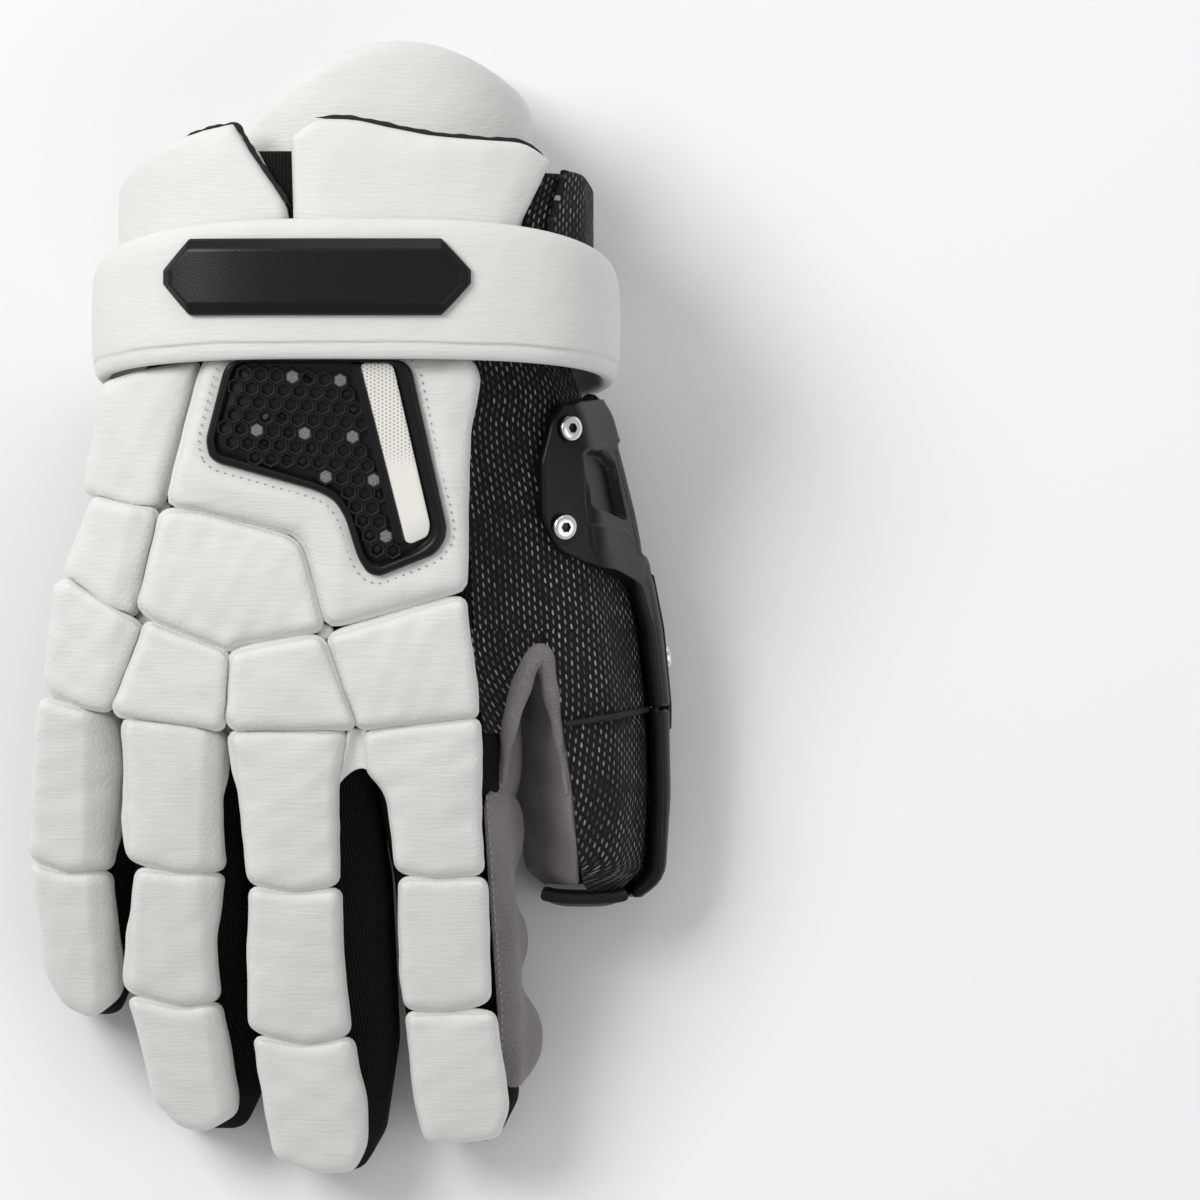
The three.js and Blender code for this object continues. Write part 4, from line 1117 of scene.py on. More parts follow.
class Repeater:
    """Copies of small pieces along seams and over areas."""

    def __init__(self) -> None:
        """Builds both trees."""
        self.seams = self.seam_tree()
        self.fields = self.field_tree()

    def seam_tree(self) -> NodeTree:
        """A tree that sets short round stitches along the edges of a mesh.

        Returns:
            The tree.
        """
        made = NodeTree("stitches", {"Pitch": 0.003, "Length": 0.0018, "Radius": 0.0003})
        curve = made.node("GeometryNodeMeshToCurve", {0: made.start.outputs["Mesh"]})
        inputs = {0: curve.outputs[0], "Length": made.start.outputs["Pitch"]}
        even = made.node("GeometryNodeResampleCurve", inputs, mode="LENGTH")
        thread = made.node("GeometryNodeMeshUVSphere", {"Segments": 6, "Rings": 4, "Radius": 1.0})
        half = made.node("ShaderNodeMath", {0: made.start.outputs["Length"], 1: 0.5}, operation="MULTIPLY")
        radius = made.start.outputs["Radius"]
        size = made.node("ShaderNodeCombineXYZ", {0: radius, 1: radius, 2: half.outputs[0]})
        shaped = made.node("GeometryNodeTransform", {0: thread.outputs[0], "Scale": size.outputs[0]})
        tangent = made.node("GeometryNodeInputTangent")
        turn = made.node("FunctionNodeAlignRotationToVector", {"Vector": tangent.outputs[0]}, axis="Z")
        inputs = {"Points": even.outputs[0], "Instance": shaped.outputs[0], "Rotation": turn.outputs[0]}
        copies = made.node("GeometryNodeInstanceOnPoints", inputs)
        made.finish(copies.outputs[0])
        return made

    def field_tree(self) -> NodeTree:
        """A tree that sets a copy of an object on every point, along the point's aim.

        Returns:
            The tree.
        """
        made = NodeTree("field", {"Size": 1.0})
        shape = made.node("GeometryNodeObjectInfo", {0: made.start.outputs["Copy"]})
        aim = made.node("GeometryNodeInputNamedAttribute", {"Name": "aim"}, data_type="FLOAT_VECTOR")
        turn = made.node("FunctionNodeAlignRotationToVector", {"Vector": aim.outputs[0]}, axis="Z")
        inputs = {
            "Points": made.start.outputs["Mesh"],
            "Instance": shape.outputs["Geometry"],
            "Rotation": turn.outputs[0],
            "Scale": made.start.outputs["Size"],
        }
        copies = made.node("GeometryNodeInstanceOnPoints", inputs)
        made.finish(copies.outputs[0])
        return made

    def stitch(
        self,
        name: str,
        lines: Sequence[Array],
        thread: Material,
        pitch: float = 3.0,
        length: float = 1.9,
        radius: float = 0.32,
    ) -> bpy.types.Object:
        """Sews stitches along lines in the drawing, sizes in millimetres.

        Args:
            name: The piece's name.
            lines: The lines.
            thread: Its material.
            pitch: Distance between stitches.
            length: Length of a stitch.
            radius: Radius of the thread.

        Returns:
            The stitches as one piece.
        """
        carrier = bpy.data.meshes.new(name)
        points, edges = [], []
        for line in lines:
            first = len(points)
            points += to_frame(line).tolist()
            edges += [(first + i, first + i + 1) for i in range(len(line) - 1)]
        carrier.from_pydata(points, edges, [])
        values = {"Pitch": pitch * MM, "Length": length * MM, "Radius": radius * MM, "Material": thread}
        made = self.seams.apply(name, carrier, values)
        made.data.shade_smooth()
        return made

    def scatter(
        self,
        name: str,
        places: Array,
        aims: Array,
        shape: Surface,
        finish: Material,
        crisp: float = 30,
    ) -> bpy.types.Object:
        """Sets a copy of a small shape, drawn round the origin, on every place.

        Args:
            name: The piece's name.
            places: Where the copies go.
            aims: What their upper ends point along.
            shape: The small shape.
            finish: Its material.
            crisp: Angle past which an edge stays sharp.

        Returns:
            The copies as one piece.
        """
        template = make_object(name + "_shape", shape, finish, crisp)
        template.data.vertices.foreach_set("co", (shape.points * MM).astype(np.float32).ravel())
        carrier = bpy.data.meshes.new(name)
        carrier.from_pydata(to_frame(places).tolist(), [], [])
        attribute = carrier.attributes.new("aim", "FLOAT_VECTOR", "POINT")
        attribute.data.foreach_set("vector", np.asarray(aims, np.float32).ravel())
        made = self.fields.apply(name, carrier, {"Size": 1.0, "Copy": template, "Material": finish})
        bpy.data.objects.remove(template)
        return made


# Padding


@dataclass
class Pad:
    """One foam pad: its outline, the plane of its top and an optional ridge.

    The plane passes through x, y, z. `ridge` is a line on the top, and the side to its right
    falls away by `fall`. `centre` is a point that sees the whole outline, where its mean doesn't.
    """

    name: str
    corners: Table
    x: float
    y: float
    z: float
    slope_x: float
    slope_y: float
    thickness: float
    ridge: Table | None = None
    fall: float = 0.75
    centre: Sequence[float] | None = None

    def outline(self, count: int = 128) -> Array:
        """The pad's rounded outline."""
        return outline_of(self.corners, PAD_CORNER, count)

    def top(self, points: Array) -> Array:
        """Height of the pad's top over points in the plane, before its edges are rounded.

        Args:
            points: The points.

        Returns:
            A height for each point.
        """
        height = self.z + self.slope_x * (points[:, 0] - self.x) + self.slope_y * (points[:, 1] - self.y)
        if self.ridge is not None:
            (ax, ay), (bx, by) = self.ridge
            length = math.hypot(bx - ax, by - ay)
            off = ((points[:, 0] - ax) * (by - ay) - (points[:, 1] - ay) * (bx - ax)) / length
            off = off if by > ay else -off
            soft = 0.5 * (off + np.sqrt(off * off + 1.2))
            height = height - self.fall * soft
        return height


FINGER_ROWS: dict[str, Array] = {
    # y, left, right, height of the pads' tops, height of the palm side
    "pinky": np.array([
        [-34.5, -97, -71.2, 86, 29], [-82, -97, -72, 68, 14], [-116, -94, -73, 52, 4],
        [-127, -90, -76, 46.5, 4],
    ]),
    "ring": np.array([
        [-34.5, -70, -37.2, 91.5, 32], [-82, -68, -35.5, 74.5, 22], [-124, -66, -34, 54, 9],
        [-152, -62, -31.5, 40, 1], [-164, -56, -36, 34, 3],
    ]),
    "middle": np.array([
        [-34.5, -36, 3, 93.5, 33], [-88, -31, 10, 75.5, 23], [-136, -27, 12, 53.5, 8],
        [-166, -21, 7.5, 39, 0], [-177.5, -16, 2, 33.5, 3],
    ]),
    "index": np.array([
        [-34.5, 4.5, 44, 93, 35], [-84, 15, 47, 76, 26], [-127, 18, 50, 56, 14],
        [-156, 24, 50, 42.5, 4], [-168, 28, 45, 37, 6],
    ]),
}

# For each finger, its pads from knuckle to tip: corners, and the ridge of the top.
FINGER_PADS = {
    "pinky": [
        ([[-98, -27], [-83, -31], [-74, -32.5], [-72, -47.5], [-76.3, -80.8], [-91, -82], [-102.5, -77],
          [-99.5, -34]], [[-84, -30], [-85.5, -80]]),
        ([[-102, -79.5], [-91, -83], [-76.5, -82.5], [-74.5, -122], [-83.5, -129.5], [-92.5, -125],
          [-98, -115]], [[-84.5, -82], [-82, -128]]),
    ],
    "ring": [
        ([[-71.5, -33], [-50.5, -35.5], [-39, -38.5], [-41.5, -59.5], [-40.5, -81], [-54.5, -82],
          [-71, -78]], [[-46, -35], [-48.5, -80]]),
        ([[-68.5, -81], [-54.5, -82.7], [-40.5, -83], [-44, -104], [-42.5, -122.5], [-54.5, -125],
          [-72, -119.5], [-71, -100]], [[-48.5, -83], [-47.5, -123]]),
        ([[-71.5, -122.5], [-54.5, -126], [-42.3, -124.5], [-37.5, -154], [-38, -160], [-47.5, -166],
          [-56, -164.5], [-64, -156]], [[-48, -124], [-43, -164]]),
    ],
    "middle": [
        ([[-38, -38.5], [-34.5, -37.2], [-1, -37.5], [-4.5, -56.5], [-4, -85.5], [-19, -88], [-33, -84.7],
          [-35.5, -58.5]], [[-6, -38], [-7.5, -87]]),
        ([[-32.5, -87], [-19, -89], [-3.5, -87.5], [-3.5, -109], [-1, -133.5], [-16, -137],
          [-33.5, -132], [-33.5, -107.5]], [[-7, -88], [-5, -136]]),
        ([[-32, -135], [-16, -138.2], [-0.5, -135.5], [4, -158], [3.5, -171], [-1, -179], [-12.5, -179],
          [-26, -174], [-29.5, -153.5]], [[-4.5, -137], [0.5, -178]]),
    ],
    "index": [
        ([[4, -38], [12.5, -36.3], [40, -33.5], [41, -42], [40.5, -59.5], [41.5, -82], [27.5, -83.5],
          [13.5, -81.5], [11, -58], [4.5, -49.5]], None),
        ([[14.5, -84.3], [27.5, -84.5], [42.5, -84], [43.5, -123], [27.5, -126.5], [16, -125.5],
          [14.5, -112]], None),
        ([[16.5, -127.5], [27.5, -127.7], [45, -127], [47.5, -145.5], [49, -158], [46, -168],
          [31, -169.5], [22.5, -169], [19, -155.5]], None),
    ],
}

# Pads on the back of the hand: name, thickness, lift, slope along x and corners.
BACK_PADS = [
    ("pinky_knuckle_pad", FINGER_PAD, -5, 0.26,
     [[-89.5, 10.5], [-68.5, -2.5], [-65.5, -4.5], [-75.5, -31], [-84, -30], [-95, -25], [-97, -21],
      [-93.5, 8.5]]),
    ("ring_knuckle_pad", FINGER_PAD, -0.5, 0.05,
     [[-64, -2.8], [-38.5, -12.5], [-39, -28], [-40.5, -37], [-73, -32.3], [-75, -29]]),
    ("middle_knuckle_pad", FINGER_PAD, 1, 0,
     [[-37.8, -12.7], [-23.5, -9.3], [-9.3, -7.5], [1.2, -35.8], [-36.5, -36.8], [-39.7, -32.5]]),
    ("index_knuckle_pad", FINGER_PAD, -0.3, -0.02,
     [[-7.2, -7.5], [27.5, 3], [36, 4.5], [40, -28], [39.5, -32.5], [4, -36.3], [1.7, -35]]),
    ("lower_side_pad", BACK_PAD, -6, 0.3,
     [[-81, 36.5], [-60.5, 32], [-63.2, 18], [-68, -1.2], [-77, 1.5], [-89.5, 11.5], [-90, 15]]),
    ("upper_side_pad", BACK_PAD, -9, 0.34,
     [[-79, 71.5], [-66, 76], [-47.5, 79], [-59.8, 33], [-69.5, 33.5], [-84.5, 38]]),
    ("centre_back_pad", BACK_PAD, 0, 0.02,
     [[-59.3, 31.5], [-49, 32], [-20.5, 24.2], [-15.8, 21], [-8.8, -5], [-34.5, -9.3], [-38.5, -11.6],
      [-63.2, -1.5], [-66.8, 2.5]]),
    ("thumb_side_back_pad", BACK_PAD, 0, 0,  # the last one, under the vent
     [[-45.5, 80], [38, 80], [41, 74], [37.5, 55], [36.5, 7.5], [27.5, 5.3], [0, -2.3], [-7.2, -4],
      [-14.5, 21], [-18, 24.7], [-48.5, 32.8], [-57.5, 34.5]]),
]
BACK_RIDGES = {
    "pinky_knuckle_pad": [[-74, -3], [-79.5, -30]],
    "lower_side_pad": [[-68.5, 33], [-76, 2]],
    "upper_side_pad": [[-52.5, 79], [-64, 33]],
}
SOFT_FALL = 0.5
VENT_PAD = "thumb_side_back_pad"
VENT_PAD_CENTRE = (5, 45)
# y, height of the pads' tops along the middle of the back
BACK_PROFILE = np.array([[84, 111.5], [-5, 100], [-35, 93.5]])


def all_pads() -> list[Pad]:
    """Every pad of the fingers and of the back of the hand.

    Returns:
        The pads; the last one carries the vent.
    """
    made = []
    for finger, rows in FINGER_PADS.items():
        joints = FINGER_ROWS[finger]
        for i, (corners, ridge) in enumerate(rows):
            start = joints[i]
            end = joints[-1] if i == len(rows) - 1 else joints[i + 1]
            slope = (start[3] - end[3]) / (start[0] - end[0])
            plane = (0, start[0], start[3], 0, slope)
            fall = SOFT_FALL if finger == "middle" else 0.85
            made.append(Pad(f"{finger}_pad_{i + 1}", corners, *plane, FINGER_PAD, ridge, fall))
    for name, thickness, lift, slope_x, corners in BACK_PADS:
        low, high = np.min(corners, 0), np.max(corners, 0)
        x, y = (low + high) / 2
        height = [row_at(BACK_PROFILE, y + d)[1] for d in (-0.5, 0, 0.5)]
        plane = (x, y, height[1] + lift, slope_x, height[2] - height[0])
        centre = VENT_PAD_CENTRE if name == VENT_PAD else None
        made.append(Pad(name, corners, *plane, thickness, BACK_RIDGES.get(name), SOFT_FALL, centre))
    return made


@dataclass
class Upholsterer:
    """Builds the pads' covers and lets a coarse cloth simulation fill them out.

    `reach` is how far away another pad still counts as a neighbour, `lean` how far a wall may lean
    towards it and `free` how far a wall with no neighbour swells. `sunk` is how far a cover starts
    below its filled height, `crown` and `shoulder` are the height and width of its rounded edge,
    and `wobble` its unevenness. `limit` caps what the simulation moves.
    """

    wardrobe: Wardrobe
    voxel: float = 2.6
    pressure: float = 4.0
    frames: int = 18
    limit: float = 1.7
    sunk: float = 0.7
    wobble: float = 0.28
    shoulder: float = 3.6
    crown: float = 2.3
    reach: float = 6.0
    lean: float = 2.8
    free: float = 0.6

    @staticmethod
    def ripple(points: Array, seed: int) -> Array:
        """A smooth irregular wave over the plane, mostly between -1 and 1.

        Args:
            points: Points in the plane.
            seed: Which wave.

        Returns:
            Its value at each point.
        """
        random = np.random.default_rng(seed)
        total = np.zeros(len(points))
        for wavelength in (9, 12, 16, 21, 28, 36):
            heading, phase = random.uniform(0, 2 * np.pi, 2)
            along = points[:, 0] * math.cos(heading) + points[:, 1] * math.sin(heading)
            total += np.sin(2 * np.pi * along / wavelength + phase)
        return total / 2.4

    def cover(self, shape: Pad, others: list[Array], seed: int) -> Surface:
        """A pad's cover, whose walls lean against the pads beside it below their rims.

        Args:
            shape: The pad.
            others: Outlines of all the other pads.
            seed: Seed of the hand-sewn irregularity.

        Returns:
            The closed cover.
        """
        outline = shape.outline()
        normal = outward(outline)
        outline = outline - normal * (0.3 + 0.14 * self.ripple(outline, seed))[:, None]
        gap = np.full(len(outline), np.inf)
        for ahead in np.arange(self.reach, 0.0, -0.25):
            faced = np.array([inside_distance(outline + normal * ahead, other) for other in others])
            gap[faced.max(0) > 0] = ahead
        room = np.minimum((gap + 0.3) / 2 + 0.1, self.lean)
        room = lerp(room, self.free, ease(3.0, self.reach + 0.2, gap))
        near = -np.array([inside_distance(outline, other) for other in others]).max(0)
        room = np.maximum(room, np.where(near < self.lean, np.maximum(near, 0) / 2 + 0.4, 0))
        room = calmed(room, 9)
        centre = outline.mean(0) if shape.centre is None else np.array(shape.centre, float)
        inner = self.shrunk(outline, centre, self.shoulder)

        def at(plan: Array, drop: float) -> Array:
            """Points over a plan, that far below the pad's top."""
            wave = self.wobble * self.ripple(plan, seed + 50) * max(0.0, 1 - drop / 4)
            return np.column_stack([plan, shape.top(plan) - drop + wave])

        # share of the room, distance added to it, drop below the top
        wall = (
            (0, -0.5, shape.thickness), (0, 0.2, shape.thickness - 1.2), (0.85, 0, shape.thickness * 0.55),
            (1, 0, 6.4), (0.97, 0, 4.8), (0.6, 0, 4.1), (0.2, 0, 3.5),
        )
        rings = [at(outline + normal * (room * share + more)[:, None], drop) for share, more, drop in wall]
        for share in (0.0, 0.12, 0.27, 0.45, 0.65, 0.85, 1.0):
            angle = share * np.pi / 2
            drop = self.crown * (1 - math.sin(angle)) + self.sunk
            rings.append(at(lerp(outline, inner, 1 - math.cos(angle)), drop))
        for share in np.linspace(0, 1, 13)[1:-1]:
            rings.append(at(lerp(inner, centre, share), self.sunk))
        low, high = at(centre[None], shape.thickness)[0], at(centre[None], self.sunk)[0]
        made = capped_rings(rings, low, high)
        inside = inside_distance(made.points[:, :2], outline)
        depth = shape.top(made.points[:, :2]) - made.points[:, 2]
        flat = ease(1.2, 3.2, inside) * ease(2.4, 1.4, depth)
        if shape.ridge is not None:
            plane = shape.z + shape.slope_y * (made.points[:, 1] - shape.y)
            plane = plane + shape.slope_x * (made.points[:, 0] - shape.x)
            flat = flat * ease(2.0, 0.9, plane - shape.top(made.points[:, :2]))
        made.values["plateau"] = flat
        return made

    @staticmethod
    def shrunk(outline: Array, centre: Array, distance: float) -> Array:
        """An outline moved inwards along the lines to its centre, so that it can't fold.

        Args:
            outline: The outline.
            centre: A point that sees all of it.
            distance: How far it moves.

        Returns:
            The smaller outline.
        """
        towards = centre - outline
        reach = np.linalg.norm(towards, axis=1)
        towards /= reach[:, None]
        square = np.maximum(-(towards * outward(outline)).sum(1), 0.4)
        step = calmed(np.minimum(distance / square, 0.45 * reach), 4)
        return outline + towards * step[:, None]

    def coarse(self, name: str, surface: Surface) -> bpy.types.Mesh:
        """A voxel-remeshed copy of a cover.

        Args:
            name: The cover's name.
            surface: The cover.

        Returns:
            The coarse mesh.
        """
        source = make_object(name + "_coarse", surface, self.wardrobe.fabric)
        modifier = source.modifiers.new("voxels", "REMESH")
        modifier.mode = "VOXEL"
        modifier.voxel_size = self.voxel * MM
        mesh = frozen(source)
        bpy.data.objects.remove(source)
        return mesh

    def fill(self, covers: dict[str, Surface], held: dict[str, Array], sideways: float = 0.2) -> None:
        """Inflates all covers in one simulation and carries its movement over to them.

        Args:
            covers: The covers by name; their points are moved.
            held: For some covers, an outline inside which something keeps them down.
            sideways: Share of the sideways movement that is kept.
        """
        points, faces, spans = [], [], {}
        for name, surface in covers.items():
            mesh = self.coarse(name, surface)
            first = len(points)
            points += [v.co[:] for v in mesh.vertices]
            faces += [tuple(i + first for i in p.vertices) for p in mesh.polygons]
            spans[name] = (first, len(points))
            bpy.data.meshes.remove(mesh)
        joined = bpy.data.meshes.new("filling")
        joined.from_pydata(points, [], faces)
        source = linked("filling", joined)
        cloth = source.modifiers.new("filling", "CLOTH")
        settings = {
            "quality": 5, "mass": 0.25, "tension_stiffness": 12, "compression_stiffness": 12,
            "bending_stiffness": 0.6, "use_pressure": True, "uniform_pressure_force": self.pressure,
        }
        for label, value in settings.items():
            setattr(cloth.settings, label, value)
        cloth.settings.effector_weights.gravity = 0
        cloth.collision_settings.use_collision = False
        scene = bpy.context.scene
        for frame in range(1, self.frames + 1):
            scene.frame_set(frame)
        seen = source.evaluated_get(bpy.context.evaluated_depsgraph_get())
        after = np.array([v.co[:] for v in seen.data.vertices])
        before = np.array(points)
        scene.frame_set(1)
        bpy.data.objects.remove(source)
        moved = (after - before) / MM
        length = np.linalg.norm(moved, axis=1, keepdims=True)
        moved *= np.minimum(1, self.limit / np.maximum(length, 1e-9))
        moved *= np.array([sideways, sideways, 1.0])
        LOG.info("cloth moved %.2f mm on average, %.2f mm at most", length.mean(), length.max())
        for name, surface in covers.items():
            span = slice(*spans[name])
            change = self.carried(surface, before[span], moved[span])
            if name in held:
                outside = -inside_distance(surface.points[:, :2], held[name])
                change *= ease(0.5, 4.5, outside)[:, None]
            surface.points += change

    @staticmethod
    def carried(surface: Surface, places: Array, moved: Array) -> Array:
        """How far a fine cover's points go when they follow the coarse points near them.

        Args:
            surface: The fine cover.
            places: The coarse points, in metres.
            moved: How far they went, in millimetres.

        Returns:
            How far each fine point goes.
        """
        tree = KDTree(len(places))
        for i, place in enumerate(places):
            tree.insert(place, i)
        tree.balance()
        change = np.zeros_like(surface.points)
        for i, point in enumerate(to_frame(surface.points)):
            near = tree.find_n(point, 9)
            weights = np.array([1 / (distance + 1e-3) for _, _, distance in near])
            found = moved[[index for _, index, _ in near]]
            change[i] = (found * weights[:, None]).sum(0) / weights.sum()
        return change


# Hand, fingers and thumb


HAND_ROWS = np.array([
    # y, ulnar x, z, edge x, z, ridge x, crest x, rim x, palm's left x, z
    [84, -64, 48, -48, 82, -25, 10, 36, -46, 8],
    [62, -73, 46, -57, 78, -30, 10, 36, -50, 8],
    [30, -82, 44, -68, 72, -40, 8, 36.5, -66, 9],
    [-5, -91, 44, -80, 65, -52, 0, 38, -78, 15],
    [-34, -97, 45, -90, 60, -62, -8, 41, -88, 29],
])
THUMB_ROWS = np.array([
    # y, ridge x, z, top x, z, side x, z, heel x, z
    [84, 50, 82, 60, 70, 68, 46, 46, 9.5],
    [66, 53.3, 79, 66, 68.5, 74.5, 43, 52, 9.5],
    [61, 54.5, 78, 68, 68, 77, 42, 66, 8.8],
    [48, 56, 76, 71, 67, 80.5, 40, 73, 8],
    [30, 57, 74, 74, 66, 85, 38, 79, 6],
    [-6, 60, 68, 77, 64, 91.5, 36, 87, 5],
    [-30, 66, 63, 82, 61, 94, 33, 89, 5],
    [-58, 70, 58, 84, 56, 94.5, 31, 89, 5],
    [-82, 72, 50, 84, 48, 93, 28, 87, 6],
    [-88, 73, 38, 81, 37, 86, 27, 82, 16],
])
PALM_ROWS = np.array([
    # y, ball x, z, hollow x, z
    [84, 37, 8, 28, 8], [66, 42, 8.2, 33, 8], [61, 50, 8.2, 36, 8], [48, 54, 8, 38, 8.6],
    [30, 58, 6.4, 40, 9.5], [-5, 53, 6, 42, 15], [-19, 48, 14, 42, 22], [-34, 46, 34, 42, 33],
])
WEB_COLUMNS = np.array([
    # rim x, y, z, foot x, y, z
    [49.5, -36, 69, 46.5, -37, 37], [52.5, -26, 69, 47.5, -30, 26], [56.5, -17, 68, 49.5, -24, 18],
    [60, -13.5, 66, 51.5, -23, 11], [61.8, -20, 63.5, 51, -30, 8], [64, -30, 62, 50.5, -44, 7],
    [68.2, -58, 57, 50.5, -62, 6.6], [70.2, -82, 49, 54, -82, 8], [71, -87, 39, 61, -87.5, 17],
])
THUMB_SOLE = np.array([
    # y, left, right, z
    [-5.8, 55, 83.2, 5], [-30, 53, 85.2, 5], [-58, 53, 85.2, 5], [-82, 56.5, 83, 6], [-87.6, 63, 78.5, 15.8],
])
PATCH_LOBES = np.array([
    # y, outer edge
    [-55, 46.8], [-56.2, 49.2], [-58.5, 51.6], [-63, 53.6], [-69, 54.4], [-75, 53.8], [-80, 52.2],
    [-84, 50.4], [-87, 49.8], [-92, 49.8], [-94, 51], [-97, 53.4], [-100.5, 55], [-104.5, 55.5],
    [-108.5, 55.1], [-112, 53.7], [-114.5, 52], [-117.5, 51.6], [-120.5, 52.6], [-123, 54.4],
    [-127, 57.8], [-131.5, 59.8], [-136, 60.3], [-141, 59.8], [-145.5, 58], [-149, 55.6], [-151, 53.6],
])
# Points on the side of a cloth to which its thickness goes.
INTO_HAND = (10, 25, 45)
INTO_THUMB = (73, -45, 32)
OFF_INDEX = (200, -50, 60)
SEAM_RIM = 0.12


def back_top(y: float) -> float:
    """Height of the cloth under the pads on the back of the hand."""
    return float(row_at(BACK_PROFILE, y)[1]) - BACK_PAD - 0.6


def seam_height(row: Array) -> float:
    """Height at which a finger's back meets its palm."""
    return lerp(row[4], row[3] - FINGER_PAD, 0.42)


def radial_point(y: float, across: float) -> Array:
    """A point on the thumb's outer side: 0 is the ridge, 1 the top, 2 the side, 3 the heel.

    Args:
        y: Place along the thumb.
        across: Place round it.

    Returns:
        The point.
    """
    row = row_at(THUMB_ROWS, y)
    x = np.interp(across, [0, 1, 2, 3], row[[1, 3, 5, 7]])
    z = np.interp(across, [0, 1, 2, 3], row[[2, 4, 6, 8]])
    return np.array([x, y, z])


@dataclass
class Fingers:
    """The four cloth fingers: black knit backs and punched suede palms."""

    wardrobe: Wardrobe
    repeater: Repeater
    bulge: float = 2.3
    wall: float = 2.0
    hide: float = 1.5
    under_pads: float = 0.9
    fold_height: float = 0.14

    def section(self, row: Array, back: bool, share: float = 1.0) -> list[list[float]]:
        """One section of a finger half, from seam to seam.

        Args:
            row: The finger's row.
            back: Whether this is the knit back, or else the suede palm.
            share: How far the half still stands out from the seam, less at the tip.

        Returns:
            Points of the section.
        """
        y, left, right, pad_top, palm = row
        seam = seam_height(row)
        flat = pad_top - FINGER_PAD - self.under_pads if back else palm
        reach = (flat - seam) * share
        turn = min(5.0 if back else 7.0, abs(flat - seam) * 0.65, 0.32 * (right - left))
        swell = self.bulge * share
        side = seam + reach * (1 - 0.62 * min(1.0, turn / max(abs(reach), 1e-6)))
        plan = [
            (left - swell, seam), (left - swell * 0.6, side), (left + turn, seam + reach),
            (right - turn, seam + reach), (right + swell * 0.6, side), (right + swell, seam),
        ]
        return [[x, y, z] for x, z in plan]

    def half(self, rows: Array, back: bool) -> Surface:
        """One half of a finger, closed at its tip.

        Args:
            rows: The finger's rows.
            back: Whether this is the knit back.

        Returns:
            The half.
        """
        control = [self.section(row, back) for row in rows[:-1]]
        # distance past the last row, share of the height, narrower at each side
        nose = (0.0, 0.7, 0.4), (1.1, 0.5, 1.2), (1.8, 0.26, 2.4), (2.1, 0.03, 3.8)
        for ahead, share, narrower in nose:
            narrower = min(narrower, 0.26 * (rows[-1][2] - rows[-1][1]))
            row = rows[-1] - np.array([ahead, -narrower, narrower, 0, 0])
            control.append(self.section(row, back, share))
        grid = woven(np.array(control), step=1.8, fold=2.0).grid
        inside = [rows[:, 1:3].mean(), rows[:, 0].mean(), seam_height(rows.mean(0))]
        random = np.random.default_rng(7 if back else 8)
        folds = sum(
            random.normal() * self.fold_height * np.sin(grid[..., 1] / wave + random.uniform(0, 6))
            for wave in (3.1, 4.7, 7.9)
        )
        return shell(grid, self.wall, inside, near_relief=folds * ease(0, 5, from_border(grid)))

    def patch(self) -> tuple[Surface, Array]:
        """The scalloped patch on the index finger, and the line of its stitches.

        Returns:
            The patch and the line.
        """
        control = []
        for y, edge in PATCH_LOBES:
            cloth = row_at(FINGER_ROWS["index"], y)
            seam = seam_height(cloth)
            inner = cloth[2] + 2.0
            hang = max(0.0, edge - self.hide - inner - 0.3)
            top = cloth[3] - FINGER_PAD
            control.append([
                [inner - 6.6, y, top + 1.0], [inner - 0.6, y, seam + 14.5], [inner + 0.3, y, seam + 10],
                [inner + 0.3 + hang * 0.35, y, seam + 5], [inner + 0.3 + hang * 0.74, y, seam + 0.5],
                [inner + 0.3 + hang, y, seam - 3.5],
            ])
        for line, pull in ((0, 0.7), (1, 0.35), (2, 0.1), (-3, 0.1), (-2, 0.3), (-1, 0.7)):
            middle = np.mean(control[line], 0)
            control[line] = lerp(np.array(control[line]), middle, pull).tolist()
        surface = sheet(control, 0.9, 1.5, self.hide, OFF_INDEX, 0.7)
        inset = []
        for y in np.linspace(-58.5, -147, 90):
            x = row_at(FINGER_ROWS["index"], y)[2] - 3.1
            near = np.hypot(surface.points[:, 0] - x, surface.points[:, 1] - y) < 0.9
            inset.append([x, y, surface.points[near, 2].max() + 0.1])
        inset = flowing(inset, 120, 4)
        return surface, inset

    def build(self) -> None:
        """Makes and publishes the fingers and the patch."""
        w = self.wardrobe
        for finger, rows in FINGER_ROWS.items():
            back, palm = self.half(rows, True), self.half(rows, False)
            show(f"{finger}_knit_back", back, w.knit, [f"{finger}_finger_back"])
            show(f"{finger}_suede_palm", palm, w.punched, [f"{finger}_finger_palm"])
        surface, seam = self.patch()
        show("index_suede_patch", surface, w.suede, ["index_side_patch"])
        stitches = self.repeater.stitch("index_patch_stitches", [seam], w.grey_thread, 2.6, 1.7)
        publish(stitches)


